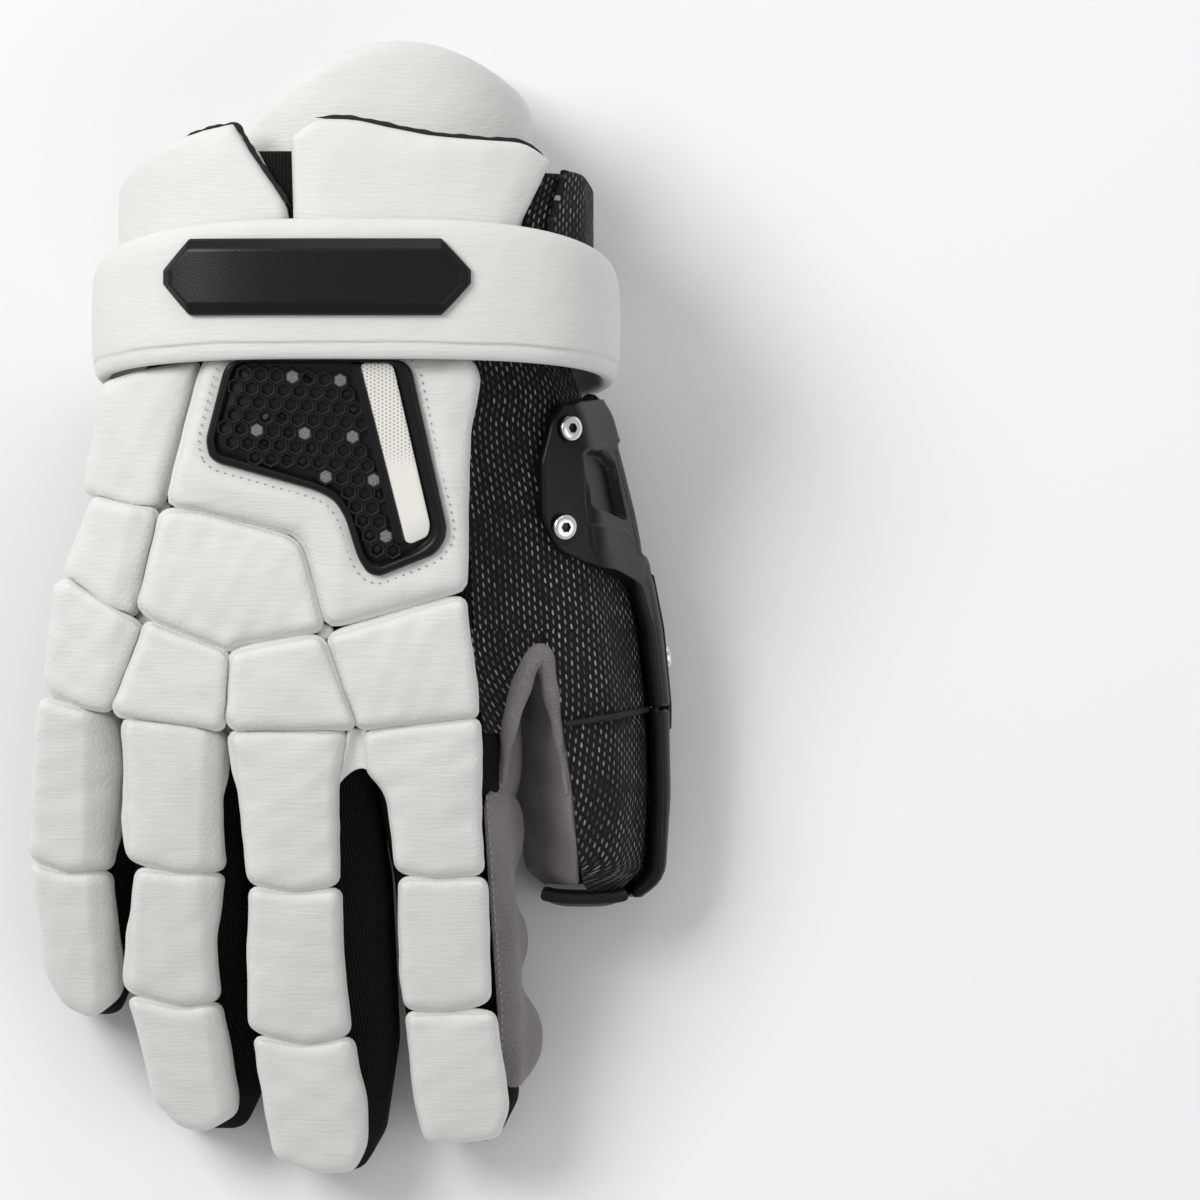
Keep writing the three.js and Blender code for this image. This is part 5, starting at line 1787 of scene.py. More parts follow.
@dataclass
class Grooves:
    """The white fabric that closes the places where several pads meet."""

    wardrobe: Wardrobe
    repeater: Repeater
    junctions: tuple[tuple[float, float], ...] = (
        (-59.4, 32.9), (-65.4, -2.3), (-38.5, -12.2), (-8.3, -6.2), (-74.6, -32.2), (-39.6, -37.4),
        (1.9, -36.9),
    )
    depth: float = 7.0

    def surface_height(self, x: float, y: float) -> float:
        """Height of the lowest pad top beside a junction.

        Args:
            x: Where the junction lies.
            y: Where it lies.

        Returns:
            The height.
        """
        place = np.array([[x, y]])
        near = [shape for shape in all_pads() if inside_distance(place, shape.outline())[0] > -4.5]
        return min(float(shape.top(place)[0]) for shape in near)

    def dome(self) -> Surface:
        """A gathered bit of fabric, drawn round the origin.

        Returns:
            The closed shape.
        """
        turn = np.linspace(0, 2 * np.pi, 12, endpoint=False)
        rings = []
        foot = -2.5
        for reach, height in ((2.7, foot), (2.9, -0.6), (2.3, 0.4), (1.2, 0.8)):
            rings.append(polar(turn, reach * (1 + 0.08 * np.cos(3 * turn)), height))
        made = capped_rings(rings, np.array([0, 0, foot]), np.array([0, 0, 0.7]))
        made.values["plateau"] = np.zeros(len(made.points))
        return made

    def finger_fold(self) -> Surface:
        """The folded fabric between the middle and the index finger.

        Returns:
            The cloth.
        """
        # x at the knuckles, x and y at the low end, depth below the pads' tops
        columns = (
            (0.0, -4.2, -54.5, 4.5), (1.0, -2, -52, 6.2), (2.0, 0.6, -49.8, 7.2), (3.0, 2.9, -49, 6.2),
            (3.8, 4.6, -49.6, 4.8),
        )
        control = []
        for share in (0, 0.33, 0.67, 1):
            line = []
            for top_x, low_x, low_y, depth in columns:
                y = lerp(-36.6, low_y, share)
                line.append([lerp(top_x, low_x, share), y, 93.5 + 0.336 * (y + 34.5) - depth])
            control.append(line)
        made = shell(woven(np.array(control), 0.8, 0.8, 0.6).grid, 1.6, (0, -45, 0), rim=0.6)
        made.values["plateau"] = np.zeros(len(made.points))
        return made

    def build(self) -> None:
        """Makes and publishes the fabric."""
        seats = [[x, y, self.surface_height(x, y) - self.depth] for x, y in self.junctions]
        aims = np.tile([0, -0.1, 1.0], (len(seats), 1))
        gathers = self.repeater.scatter(
            "groove_gathers", np.array(seats), aims, self.dome(), self.wardrobe.fabric, 0
        )
        publish(gathers)
        show("finger_fold_fabric", self.finger_fold(), self.wardrobe.fabric)


@dataclass
class Hand:
    """Cloth of the hand: knit under the pads, mesh on the thumb side, suede palm."""

    wardrobe: Wardrobe

    def liner(self) -> Surface:
        """The black cloth under the pads.

        Returns:
            The cloth.
        """
        control = []
        for row in HAND_ROWS:
            top = back_top(row[0])
            control.append([
                [row[1], row[0], row[2] + 0.2], [row[3], row[0], row[4]], [row[5], row[0], top - 1.5],
                [row[6], row[0], top], [row[7], row[0], top - 0.5],
            ])
        return sheet(control, 2.4, 4.0, CLOTH, INTO_HAND)

    def mesh_side(self) -> Surface:
        """The mesh panel between the pads and the thumb guard.

        Returns:
            The cloth.
        """
        control = []
        for y in (84, 66, 61, 48, 30, 12, -5.7):
            hand, thumb = row_at(HAND_ROWS, y), row_at(THUMB_ROWS, y)
            control.append([
                [hand[7] + 0.4, y, back_top(y) - 0.5], [thumb[1], y, thumb[2]], [thumb[3], y, thumb[4]],
                [thumb[5], y, thumb[6]], [thumb[7], y, thumb[8] + 0.2],
            ])
        grid = woven(np.array(control), 1.8, 4.0).grid
        return shell(grid, CLOTH, INTO_HAND, SEAM_RIM, anchor=0.0)

    def crotch(self) -> Surface:
        """The mesh between the index knuckle and the thumb, down to the web's rim.

        Returns:
            The cloth.
        """
        top = np.array([[x, -5.2, lerp(78.9, 68, (x - 38) / 22)] for x in (37.2, 43, 48.5, 54, 61.2)])
        low = np.array([
            [41.5, -38, 73.6], [45.5, -38.5, 71], [48.8, -36.5, 68.6], [54, -22.5, 68.4], [60.9, -14, 65.8],
        ])
        control = [lerp(top, low, share) for share in (0, 0.25, 0.5, 0.75, 1)]
        row = row_at(THUMB_ROWS, -6)
        side = np.array([[row[i], row[i + 1]] for i in (1, 3, 5, 7)])
        reach = float(np.linalg.norm(np.diff(side, axis=0), axis=1).sum())
        grid = woven(np.array(control), 1.6, 2.0).grid
        return shell(grid, 2.0, INTO_HAND, SEAM_RIM, anchor=-reach)

    def index_side(self) -> Surface:
        """The suede strip between the web and the patch on the index finger.

        Returns:
            The cloth.
        """
        control = []
        for y, tuck in ((-31, 0), (-37.5, 0), (-43, 0), (-49, 0.4), (-55, 1.6), (-60, 3.6)):
            cloth = row_at(FINGER_ROWS["index"], y)
            seam, right = seam_height(cloth), cloth[2] - tuck
            control.append([
                [right + 1.2, y, seam + 14], [right + 3.0, y, seam + 11], [right + 4.8, y, seam + 5],
                [right + 6.2, y, seam - 3], [right + 7.0, y, seam - 12],
            ])
        return sheet(control, 1.4, 2.0, 2.0, OFF_INDEX)

    def knuckle_edge(self) -> Surface:
        """The narrow knit strip beside the index knuckle.

        Returns:
            The cloth.
        """
        control = []
        for y in (-24, -30, -36, -42, -48):
            hand = row_at(HAND_ROWS, max(y, -34))
            high = back_top(max(y, -34)) - 0.5 + 0.35 * min(0, y + 34)
            control.append([[hand[7] + x, y, high + z] for x, z in ((-1, 1), (5.5, -3), (8.5, -17))])
        return sheet(control, 1.6, 2.5, 2.0, INTO_HAND)

    def palm(self) -> Surface:
        """The suede palm.

        Returns:
            The cloth.
        """
        control = []
        for y, ball_x, ball_z, hollow_x, hollow_z in PALM_ROWS:
            hand, thumb = row_at(HAND_ROWS, y), row_at(THUMB_ROWS, max(y, -6))
            control.append([
                [thumb[7] - 7.0, y, max(thumb[8], ball_z - 1)], [ball_x, y, ball_z],
                [hollow_x, y, hollow_z], [hand[8], y, hand[9]], [hand[1], y, hand[2] - 0.2],
            ])
        weft = woven(np.array(control), 2.2, 3.5)
        rows = (weft.rows[:-1] + weft.rows[1:]) / 2
        columns = (weft.columns[:-1] + weft.columns[1:]) / 2
        opened = ((rows[:, None] > 5) & (columns < 1)) | ((rows[:, None] > 6) & (columns < 2))
        return shell(weft.grid, CLOTH, INTO_HAND, opened=opened)

    def build(self) -> None:
        """Makes and publishes the hand's cloth."""
        w = self.wardrobe
        show("hand_knit_liner", self.liner(), w.knit, ["hand_back_liner"])
        show("thumb_side_mesh_panel", self.mesh_side(), w.mesh, ["hand_mesh_side"])
        show("thumb_crotch_mesh", self.crotch(), w.mesh)
        show("index_side_suede", self.index_side(), w.suede)
        show("index_knuckle_edge_knit", self.knuckle_edge(), w.knit)
        show("suede_palm", self.palm(), w.suede, ["palm_panel"])


@dataclass
class Thumb:
    """The mesh thumb with its suede web and sole."""

    wardrobe: Wardrobe
    groove_depth: float = 1.3
    piping: float = 1.0

    def mesh_back(self) -> Surface:
        """The thumb's mesh, from the ridge round the side to the heel.

        Returns:
            The cloth.
        """
        control = []
        for y in (-5.72, -30, -58, -82, -88):
            row = row_at(THUMB_ROWS, y)
            control.append([[row[i], y, row[i + 1] + (0.2 if i == 7 else 0)] for i in (1, 3, 5, 7)])
        last = np.array(control[-1])
        nose = last.mean(0) + [0, -3, 0]
        control.append(lerp(last, nose, 0.55) + [0, -2.5, 0])
        grid = woven(np.array(control), 1.7, 3.5).grid
        seam = grid[..., 1] + 34 - 0.08 * (grid[..., 0] - 70)
        groove = -self.groove_depth * np.exp(-((seam / 1.3) ** 2))
        return shell(grid, CLOTH, INTO_THUMB, SEAM_RIM, near_relief=groove, anchor=0.0)

    def web_grid(self) -> Array:
        """The suede web from its rim to its foot, with soft folds.

        Returns:
            A fine grid of points.
        """
        control = []
        for share in (0, 0.33, 0.67, 1):
            rows = lerp(WEB_COLUMNS[:, :3], WEB_COLUMNS[:, 3:], share).copy()
            rows[:, 0] -= 3 * math.sin(math.pi * share)
            control.append(rows)
        return woven(np.array(control), 1.7, 2.2).grid

    def rim(self) -> Array:
        """The line of the web's rolled rim.

        Returns:
            Its points.
        """
        line = WEB_COLUMNS[:7, :3] + np.array([-0.4, 0.4, -0.6])
        line[2:5] += np.array([0, 2.2, 0.8])
        low = np.array([[47.4, -54, 64.5], [48.4, -46, 67.2]])
        return flowing(np.vstack([low, line]), 110, 30)

    def build(self) -> None:
        """Makes and publishes the thumb's cloth."""
        w = self.wardrobe
        show("thumb_mesh", self.mesh_back(), w.mesh, ["thumb_mesh_back"])
        grid = self.web_grid()
        y, z = grid[..., 1], grid[..., 2]
        folds = 0.35 * np.sin(y / 3.4 + z / 7) + 0.25 * np.sin(y / 5.9 - z / 4)
        web = shell(grid, CLOTH, (57, -60, 30), near_relief=folds)
        show("thumb_suede_web", web, w.suede, ["thumb_web"])
        seam = [
            radial_point(lerp(-35.5, -31.0, min(1.0, a / 1.85)), a) + [0.15, 0, 0.5]
            for a in np.linspace(0.05, 2.2, 34)
        ]
        piping = tube(flowing(seam, 60, 4), self.piping, 8)
        show("thumb_seam_piping", piping, w.binding)
        line = self.rim()
        share = np.linspace(0, 1, len(line))
        radius = 0.6 + 2.9 * ease(0, 0.3, share) - 2.8 * ease(0.5, 0.95, share) + 0.25 * np.sin(share * 41)
        show("web_rolled_rim", tube(line, radius, 16), w.suede)
        sole = [
            [[x, y, z - 0.4] for x in (right, (left + right) / 2, left)] for y, left, right, z in THUMB_SOLE
        ]
        under = sheet(sole, 2.0, 2.5, CLOTH, INTO_THUMB)
        show("thumb_suede_sole", under, w.suede, ["thumb_palm"])


# Vent


VENT_TOP = 79
VENT_OUTER = [
    [-38.5, 79], [-45, 54], [-44, 49], [-41.5, 47], [-11, 38.5], [-5, 35.5], [-1.5, 30], [2.5, 17],
    [5.5, 12.5], [9, 11.5], [26.5, 18.5], [29.5, 23], [30, 27], [18.5, 79],
]
VENT_INNER = [
    [-35.5, 78], [-42, 54], [-41, 50.3], [-10, 41.2], [-3, 38], [1, 31.5], [5, 18], [8.5, 15],
    [20.5, 19.8], [25, 23.5], [25.5, 28], [14, 78],
]
VENT_BAR = [[0.2, 78], [3.1, 78], [17.2, 22.2], [14.2, 21.4]]
VENT_STRIP = [[3, 78], [13.4, 78], [25, 27.5], [24.3, 24], [19, 21.6], [17, 22.5]]
# Middles of the honeycomb's filled cells, whose grey caps are painted glints.
LIT_CELLS = np.array([
    [-19.8, 73.6], [-4.2, 72.4], [-28.6, 59.5], [-14.2, 58.6], [1.1, 57.4], [-8.9, 43.9], [6, 41.8],
    [10.5, 26.6],
])
VENT_GRILLE = [
    [-35, 77.5], [-41.4, 54], [-40.4, 50.8], [-9.8, 41.8], [-2.5, 38.4], [1.6, 31.7], [5.5, 18.6],
    [8.7, 15.7], [16, 18.6], [14.6, 22], [0.6, 77.5],
]


@dataclass
class Vent:
    """The moulded vent on the back of the hand."""

    wardrobe: Wardrobe
    repeater: Repeater
    plane: Pad
    pitch: float = 5.0
    wall: float = 0.85
    turned: float = -4.0
    foot: float = -0.4
    sunk: float = 0.25
    stitch_gap: float = 2.6

    def height(self, plan: Array) -> Array:
        """Height of the pad under the vent."""
        return self.plane.top(np.asarray(plan, float)) - self.sunk

    def bezel(self) -> Surface:
        """The moulded frame.

        Returns:
            The closed shape.
        """
        outer = outline_of(VENT_OUTER, 5, 360)
        inner = outline_of(VENT_INNER, 3.5, 720)
        gaps = np.linalg.norm(outer[:, None] - inner[None], axis=2)
        facing = inner[gaps.argmin(1)]
        facing = (np.roll(facing, 1, 0) + facing + np.roll(facing, -1, 0)) / 3
        # share of the way to the inner outline, height over the pad
        profile = [
            (-0.06, -0.7), (-0.06, 0.9), (0.0, 1.9), (0.12, 2.5), (0.3, 2.75), (0.55, 2.7),
            (0.72, 2.3), (0.86, 1.5), (1.0, 1.1), (1.0, -0.7),
        ]
        sections = []
        for share, height in profile:
            plan = lerp(outer, facing, share)
            sections.append(np.column_stack([plan, self.height(plan) + height]))
        return closed_sweep(np.array(sections).transpose(1, 0, 2))

    def plate(
        self,
        corners: list[list[float]],
        radius: float,
        high: float,
        centre: Sequence[float],
        wider: float = 0.0,
    ) -> Surface:
        """A flat inlay with a small bevel.

        Args:
            corners: Its outline.
            radius: Radius of the outline's corners.
            high: Height of its top over the pad.
            centre: A point that sees the whole outline.
            wider: How far the inlay reaches past the outline.

        Returns:
            The inlay.
        """
        outline = outline_of(corners, radius, 160)
        outline = outline + outward(outline) * wider
        inset = outline - outward(outline) * 0.5
        middle = np.array(centre, float)
        rings = []
        for plan, height in ((outline, self.foot), (outline, high - 0.4), (inset, high)):
            rings.append(np.column_stack([plan, self.height(plan) + height]))
        for share in (0.25, 0.5, 0.75):
            plan = lerp(inset, middle, share)
            rings.append(np.column_stack([plan, self.height(plan) + high]))
        ends = [np.array([*middle, self.height(middle[None])[0] + height]) for height in (self.foot, high)]
        made = capped_rings(rings, *ends)
        made.weave = made.points[:, :2].copy()
        made.values["dotted"] = ease(44, 52, made.points[:, 1])
        return made

    def lattice(self) -> tuple[Array, Array]:
        """Middles of the honeycomb's cells, and which of them are filled with grey caps of painted glint.

        Returns:
            The middles and the choice.
        """
        polygon = outline_of(VENT_GRILLE, 2, 200)
        places = []
        rise = self.pitch * math.sqrt(3) / 2
        cosine, sine = math.cos(math.radians(self.turned)), math.sin(math.radians(self.turned))
        for row in range(-4, 24):
            for column in range(-14, 16):
                x = (column + 0.5 * (row % 2)) * self.pitch - 14.6
                y = 12.0 + row * rise - 50
                here = [x * cosine - y * sine, 50 + x * sine + y * cosine]
                if inside_distance(np.array([here]), polygon)[0] > 0.9:
                    places.append(here)
        middles = np.array(places)
        filled = np.zeros(len(middles), bool)
        for cell in LIT_CELLS:
            filled[np.linalg.norm(middles - cell, axis=1).argmin()] = True
        return middles, filled

    def hexagon(self, radii: Sequence[float], heights: Sequence[float], closed: bool) -> Surface:
        """A six-sided ring or stud through the given radii and heights.

        Args:
            radii: Its radii.
            heights: Its heights.
            closed: Whether it is a ring.

        Returns:
            The shape.
        """
        turn = np.radians(np.arange(6) * 60 + 30)
        rings = [polar(turn, radius, height) for radius, height in zip(radii, heights)]
        if not closed:
            return capped_rings(rings, np.array([0, 0, heights[0]]), np.array([0, 0, heights[-1]]))
        count = len(radii)
        faces = []
        for i in range(6):
            here, there = i * count, (i + 1) % 6 * count
            for k in range(count):
                after = (k + 1) % count
                faces.append((here + k, there + k, there + after, here + after))
        return Surface(np.array(rings).transpose(1, 0, 2).reshape(-1, 3), faces)

    def build(self) -> None:
        """Makes and publishes the vent."""
        w = self.wardrobe
        show("vent_bezel", self.bezel(), w.plastic, ["vent_frame"], 40)
        backing = self.plate(VENT_INNER, 2, 0.35, (0, 50), 0.5)
        show("vent_backing", backing, w.rubber, ["vent_grille"], 40)
        inlay = self.plate(VENT_STRIP, 2.2, 2.0, (15, 50))
        show("vent_cream_inlay", inlay, w.cream, ["vent_strip"], 40)
        bar = self.plate(VENT_BAR, 0.8, 2.6, (8.7, 50))
        show("vent_divider_bar", bar, w.plastic, crisp=40)
        places, filled = self.lattice()
        seats = np.column_stack([places, self.height(places) + 0.3])
        aims = np.tile([0, -self.plane.slope_y, 1.0], (len(seats), 1))
        radius = self.pitch / math.sqrt(3)
        ring = self.hexagon(
            [radius * 1.01, radius * 0.95, radius - self.wall, radius - self.wall * 1.15, radius * 1.01],
            [1.55, 1.75, 1.6, 0.0, 0.0], True,
        )
        publish(self.repeater.scatter("vent_honeycomb", seats, aims, ring, w.rubber))
        dark = np.flatnonzero(~filled)
        chosen = np.random.default_rng(5).choice(dark, len(dark) // 3, replace=False)
        leans = aims[chosen] + np.random.default_rng(6).normal(0, 0.22, (len(chosen), 3))
        facet = self.hexagon([radius * 0.5, radius * 0.44, radius * 0.3], [-0.1, 0.25, 0.3], False)
        facets = self.repeater.scatter("vent_dark_facets", seats[chosen], leans, facet, w.plastic)
        publish(facets)
        # grey caps in the chosen cells: painted glints
        cap = self.hexagon([radius * 0.86, radius * 0.84, radius * 0.72], [0.0, 1.2, 1.45], False)
        lit = self.repeater.scatter("vent_smoke_cells", seats[filled], aims[filled], cap, w.glint_paint)
        publish(lit)
        seam = outline_of(VENT_OUTER, 6, 300)
        seam = seam + outward(seam) * self.stitch_gap
        seam = seam[seam[:, 1] < VENT_TOP]
        start = int(np.argmax(np.linalg.norm(np.diff(seam, axis=0), axis=1))) + 1
        seam = np.roll(seam, -start, 0)
        line = np.column_stack([seam, self.height(seam) + 2 * self.sunk])
        holes = self.repeater.stitch("vent_stitch_holes", [line], w.grey_thread, 2.6, 0.9, 0.26)
        publish(holes)


# Cuff, strap and wrist guard


@dataclass(frozen=True)
class CuffSection:
    """The cuff's closed section."""

    x: float = 1.0
    z: float = 60.5
    half_width: float = 83.5
    half_height: float = 60.5

    def point(self, degrees: float, y: float, inset: float) -> Array:
        """A point at an angle that is 0 on the back and grows towards the little finger.

        Args:
            degrees: The angle.
            y: Place along the cuff.
            inset: How far inside the section.

        Returns:
            The point.
        """
        sine, cosine = math.sin(math.radians(degrees)), math.cos(math.radians(degrees))
        power = 2 / 3 if cosine >= 0 else 1 / 2
        x = self.x - (self.half_width - inset) * math.copysign(abs(sine) ** power, sine)
        rise = -1.0 if cosine < -0.86 else math.copysign(abs(cosine) ** power, cosine)
        return np.array([x, y, self.z + (self.half_height - inset) * rise])


CUFF = CuffSection()
INTO_CUFF = (1, 110, 60.5)
WING_INSET = 8.1
CUFF_START = 84.6
# Columns of the cuff's panels: angle at the strap, angle at the free end, y of the free end.
OUTER_WING = [
    (8.2, 21, 153), (20, 29, 151.5), (33, 38, 149), (47, 50, 146), (62, 63, 141), (80, 80, 136),
    (98, 98, 128), (112, 112, 118),
]
INNER_WING = [
    (-36, -50, 142), (-30, -39, 147.5), (-21, -25, 148), (-10, -11, 149.5), (0, 0, 154.5),
    (3.5, 3.7, 154.6), (7.2, 7.6, 148.5),
]
MESH_FLAP = [
    (-150, -148, 113), (-138, -138, 122), (-122, -122, 127), (-104, -104, 130), (-86, -86, 134),
    (-70, -70, 138), (-48, -57, 139),
]
# Rows of the strips between the panels: y, first and last angle.
GUSSET = [(118, 8.0, 8.6), (128, 7.6, 10.0), (137, 7.6, 12.8), (144.5, 7.6, 16)]
FLAP_SIDE = [(104, -53, -37.5), (114, -54, -38), (124, -55, -40.5), (132, -58, -45.5), (138, -61, -50.3)]


@dataclass
class Cuff:
    """Cuff pads, mesh flap, gusset, strap, badge and the padded wrist guard."""

    wardrobe: Wardrobe
    strap_y: float = 101.2
    slant: float = 21.5
    strap_thickness: float = 7.5
    strap_widths: tuple[float, float] = (44, 31)
    strap_seam: float = 4.2
    badge_thickness: float = 3.2
    guard_x: float = 4.5
    guard_z: float = 55.0
    guard_half_width: float = 52.0
    guard_half_height: float = 43.0
    guard_arch: float = 30.0
    guard_edge: float = 4.0

    def panel(self, columns: Table, inset: float) -> Array:
        """Coarse grid of a cuff panel, from under the strap to its free end.

        Args:
            columns: The panel's table.
            inset: How far inside the cuff's section it lies.

        Returns:
            Rows x columns x 3 points.
        """
        control = []
        for share in (0, 0.3, 0.62, 0.86, 1):
            turn = max(0, (share - 0.62) / 0.38)
            control.append([
                CUFF.point(lerp(start, end, turn), lerp(CUFF_START, top, share), inset)
                for start, end, top in columns
            ])
        return np.array(control)

    @staticmethod
    def rounded(ring: Array, parts: int) -> Array:
        """A closed ring of sections with smooth ones between them, as a Catmull-Rom spline has them.

        Args:
            ring: The sections.
            parts: How many sections each one becomes.

        Returns:
            The new ring.
        """
        wrapped = np.concatenate([ring[-2:], ring, ring[:3]])
        fine = []
        for i in range(len(ring)):
            p0, p1, p2, p3 = wrapped[i + 1:i + 5]
            for t in np.linspace(0, 1, parts + 1)[:-1]:
                fine.append(0.5 * (
                    2 * p1 + (p2 - p0) * t + (2 * p0 - 5 * p1 + 4 * p2 - p3) * t * t
                    + (3 * p1 - p0 - 3 * p2 + p3) * t**3
                ))
        return np.array(fine)

    def strap(self) -> Surface:
        """The padded strap, a closed ring with a seam along its edge nearer the fingers.

        Returns:
            The closed shape.
        """
        sections = []
        profile = np.linspace(0, 2 * np.pi, 88, endpoint=False)
        for degrees in range(0, 360, 10):
            share = (1 - math.cos(math.radians(degrees))) / 2
            middle = self.strap_y - self.slant * share
            half = lerp(*self.strap_widths, min(1, share * 1.4)) / 2
            ring = []
            for a in profile:
                c, s = math.cos(a), math.sin(a)
                along = math.copysign(abs(c) ** 0.45, c)
                deep = math.copysign(abs(s) ** 0.75, s)
                thick = self.strap_thickness / 2
                ring.append(CUFF.point(degrees, middle + half * along, thick - thick * deep))
            sections.append(ring)
        fine = smoothed(self.rounded(np.array(sections), 6), 3, (True, True))
        fine[..., 2] = np.maximum(fine[..., 2], 0.0)
        turn = np.linspace(0, 2 * np.pi, len(fine), endpoint=False)[:, None]
        face = np.clip(np.sin(profile), 0, 1)[None, :]
        along = fine[..., 1] - fine[..., 1].min(1, keepdims=True)
        seam = np.exp(-(((along - self.strap_seam) / 0.7) ** 2)) * (face > 0.2)
        middle = fine.mean(1, keepdims=True)
        fine = fine + (middle - fine) * (seam * 0.055)[..., None]
        ripple = 0.35 * np.sin(9 * turn + 1) * np.sin(5 * turn) * face * (1 - np.cos(profile) ** 4)[None]
        middle = fine.mean(1, keepdims=True)
        away = fine - middle
        away /= np.maximum(np.linalg.norm(away, axis=2, keepdims=True), 1e-6)
        fine = fine + away * ripple[..., None]
        fine[..., 2] = np.maximum(fine[..., 2], 0.0)
        made = closed_sweep(fine)
        made.values["plateau"] = np.ones(len(made.points))
        return made

    def badge(self) -> Surface:
        """A plain faceted lozenge on the strap.

        Returns:
            The closed shape.
        """
        middle = self.strap_y + 3.5
        angles = np.linspace(-17, 36, 90)
        halves = np.interp(angles, [-17, -11, 28, 36], [2, 12, 12, 2])
        grid = np.array([
            [CUFF.point(angle, middle + share * half, 0) for angle, half in zip(angles, halves)]
            for share in np.linspace(-1, 1, 40)
        ])
        bevel = -1.9 * (1 - np.clip(from_border(grid) / 3.6, 0, 1))
        return shell(grid, self.badge_thickness, (0, 110, 900), 0.5, lift=0.8, far_relief=bevel)

    def guard_ring(self, y: float, inset: float, arch: float) -> Array:
        """One ring of the wrist guard; the arch lowers it away from the wrist's middle.

        Args:
            y: Place along the cuff.
            inset: How far inside the tube's outer section.
            arch: How far its sides stay behind.

        Returns:
            The ring's points.
        """
        a = np.linspace(0, 2 * np.pi, 112, endpoint=False)
        u, w = np.sin(a), np.cos(a)
        x = self.guard_x + (self.guard_half_width - inset) * np.sign(u) * np.abs(u) ** 0.85
        z = self.guard_z + (self.guard_half_height - inset) * np.sign(w) * np.abs(w) ** 0.85
        offset = (x - self.guard_x - 11) / self.guard_half_width
        return np.column_stack([x, y - arch * offset * offset, z])

    def guard(self, outer: float, inner: float, end: float) -> Surface:
        """A soft tube round the wrist with a rounded free end.

        Args:
            outer: Inset of its outer face.
            inner: Inset of its inner face.
            end: y of its free end.

        Returns:
            The tube.
        """
        rings = [self.guard_ring(CUFF_START, outer, 0), self.guard_ring(100, outer, 0)]
        edge = self.guard_edge
        for share in np.linspace(0, 1, 10):
            y = lerp(118, end - edge, share)
            bulge = 0.8 * math.sin(math.pi * share)
            dent = 0.9 * math.exp(-(((share - 0.72) / 0.05) ** 2))
            rings.append(self.guard_ring(y, outer - bulge + dent, self.guard_arch * share**1.5))
        for share in np.linspace(0, 1, 9):
            a = share * math.pi
            inset = lerp(outer, inner, (1 - math.cos(a)) / 2)
            rings.append(self.guard_ring(end - edge + edge * math.sin(a), inset, self.guard_arch))
        for share in np.linspace(0, 1, 6):
            y = lerp(end - edge - 1, CUFF_START, share)
            rings.append(self.guard_ring(y, inner, self.guard_arch * (1 - share) ** 1.5))
        grid = np.array(rings).transpose(1, 0, 2)
        made = closed_sweep(smoothed(grid, 2, (True, True)))
        made.values["plateau"] = np.ones(len(made.points))
        return made

    def wings(self) -> dict[str, Surface]:
        """The two cuff pads before they are filled.

        Returns:
            The pads by name.
        """
        made = {}
        for name, columns in (("outer_cuff_cover", OUTER_WING), ("inner_cuff_cover", INNER_WING)):
            weft = woven(self.panel(columns, WING_INSET), 1.9, 2.4, rim=3.0)
            surface = shell(weft.grid, 11, INTO_CUFF, rim=3.2)
            surface.values["plateau"] = np.ones(len(surface.points))
            made[name] = surface
        return made

    @staticmethod
    def strip(rows: Table, deeper: float) -> Surface:
        """A cloth strip between two cuff panels, that much deeper than they are.

        Args:
            rows: The strip's table.
            deeper: How much deeper.

        Returns:
            The cloth.
        """
        control = [
            [CUFF.point(angle, y, WING_INSET + deeper) for angle in (low, (low + high) / 2, high)]
            for y, low, high in rows
        ]
        return sheet(control, 1.4, 1.2, CLOTH, INTO_CUFF)

    def bindings(self) -> list[Array]:
        """Lines of the black binding along the cuff pads' free ends.

        Returns:
            The outer pad's line and the inner pad's.
        """
        outer = self.panel(OUTER_WING, WING_INSET + 2.6)
        down = outer[::-1, 0][:3] + np.array([0.4, 0, 0])
        inner = self.panel(INNER_WING, WING_INSET + 3.2)
        edge = inner[-1][:6] + np.array([0, 0.3, 0])
        return [flowing([*outer[-1][2:0:-1], *down], 90, 6), flowing(edge, 90, 6)]

    def build_bare(self) -> None:
        """Makes and publishes the cuff's unpadded pieces."""
        w = self.wardrobe
        flap = sheet(self.panel(MESH_FLAP, WING_INSET), 1.8, 2.6, 3, INTO_CUFF)
        show("cuff_mesh_cloth", flap, w.mesh, ["cuff_mesh_flap"])
        show("cuff_gusset_knit", self.strip(GUSSET, 5), w.knit, ["cuff_gusset"])
        show("flap_side_mesh", self.strip(FLAP_SIDE, 3.5), w.mesh)
        for name, line in zip(("outer_cuff_binding", "inner_cuff_binding"), self.bindings()):
            share = np.linspace(0, 1, len(line))
            uneven = 0.7 + 0.14 * np.sin(share * 37) + 0.1 * np.sin(share * 83)
            radius = 0.1 + uneven * ease(0, 0.06, share) * ease(0, 0.06, 1 - share)
            show(name, tube(line, radius, 8), w.binding)
        show("strap_cover", self.strap(), w.fabric, ["wrist_strap"])
        show("strap_plain_badge", self.badge(), w.plastic, ["strap_badge"], 25)
        show("guard_cover", self.guard(0, 6.5, 180), w.fabric, ["wrist_guard"])
        lining = self.guard(6.9, 11.3, 178.5)
        show("guard_ribbed_lining", lining, w.ribbing, ["wrist_guard_lining"])


# Thumb guard


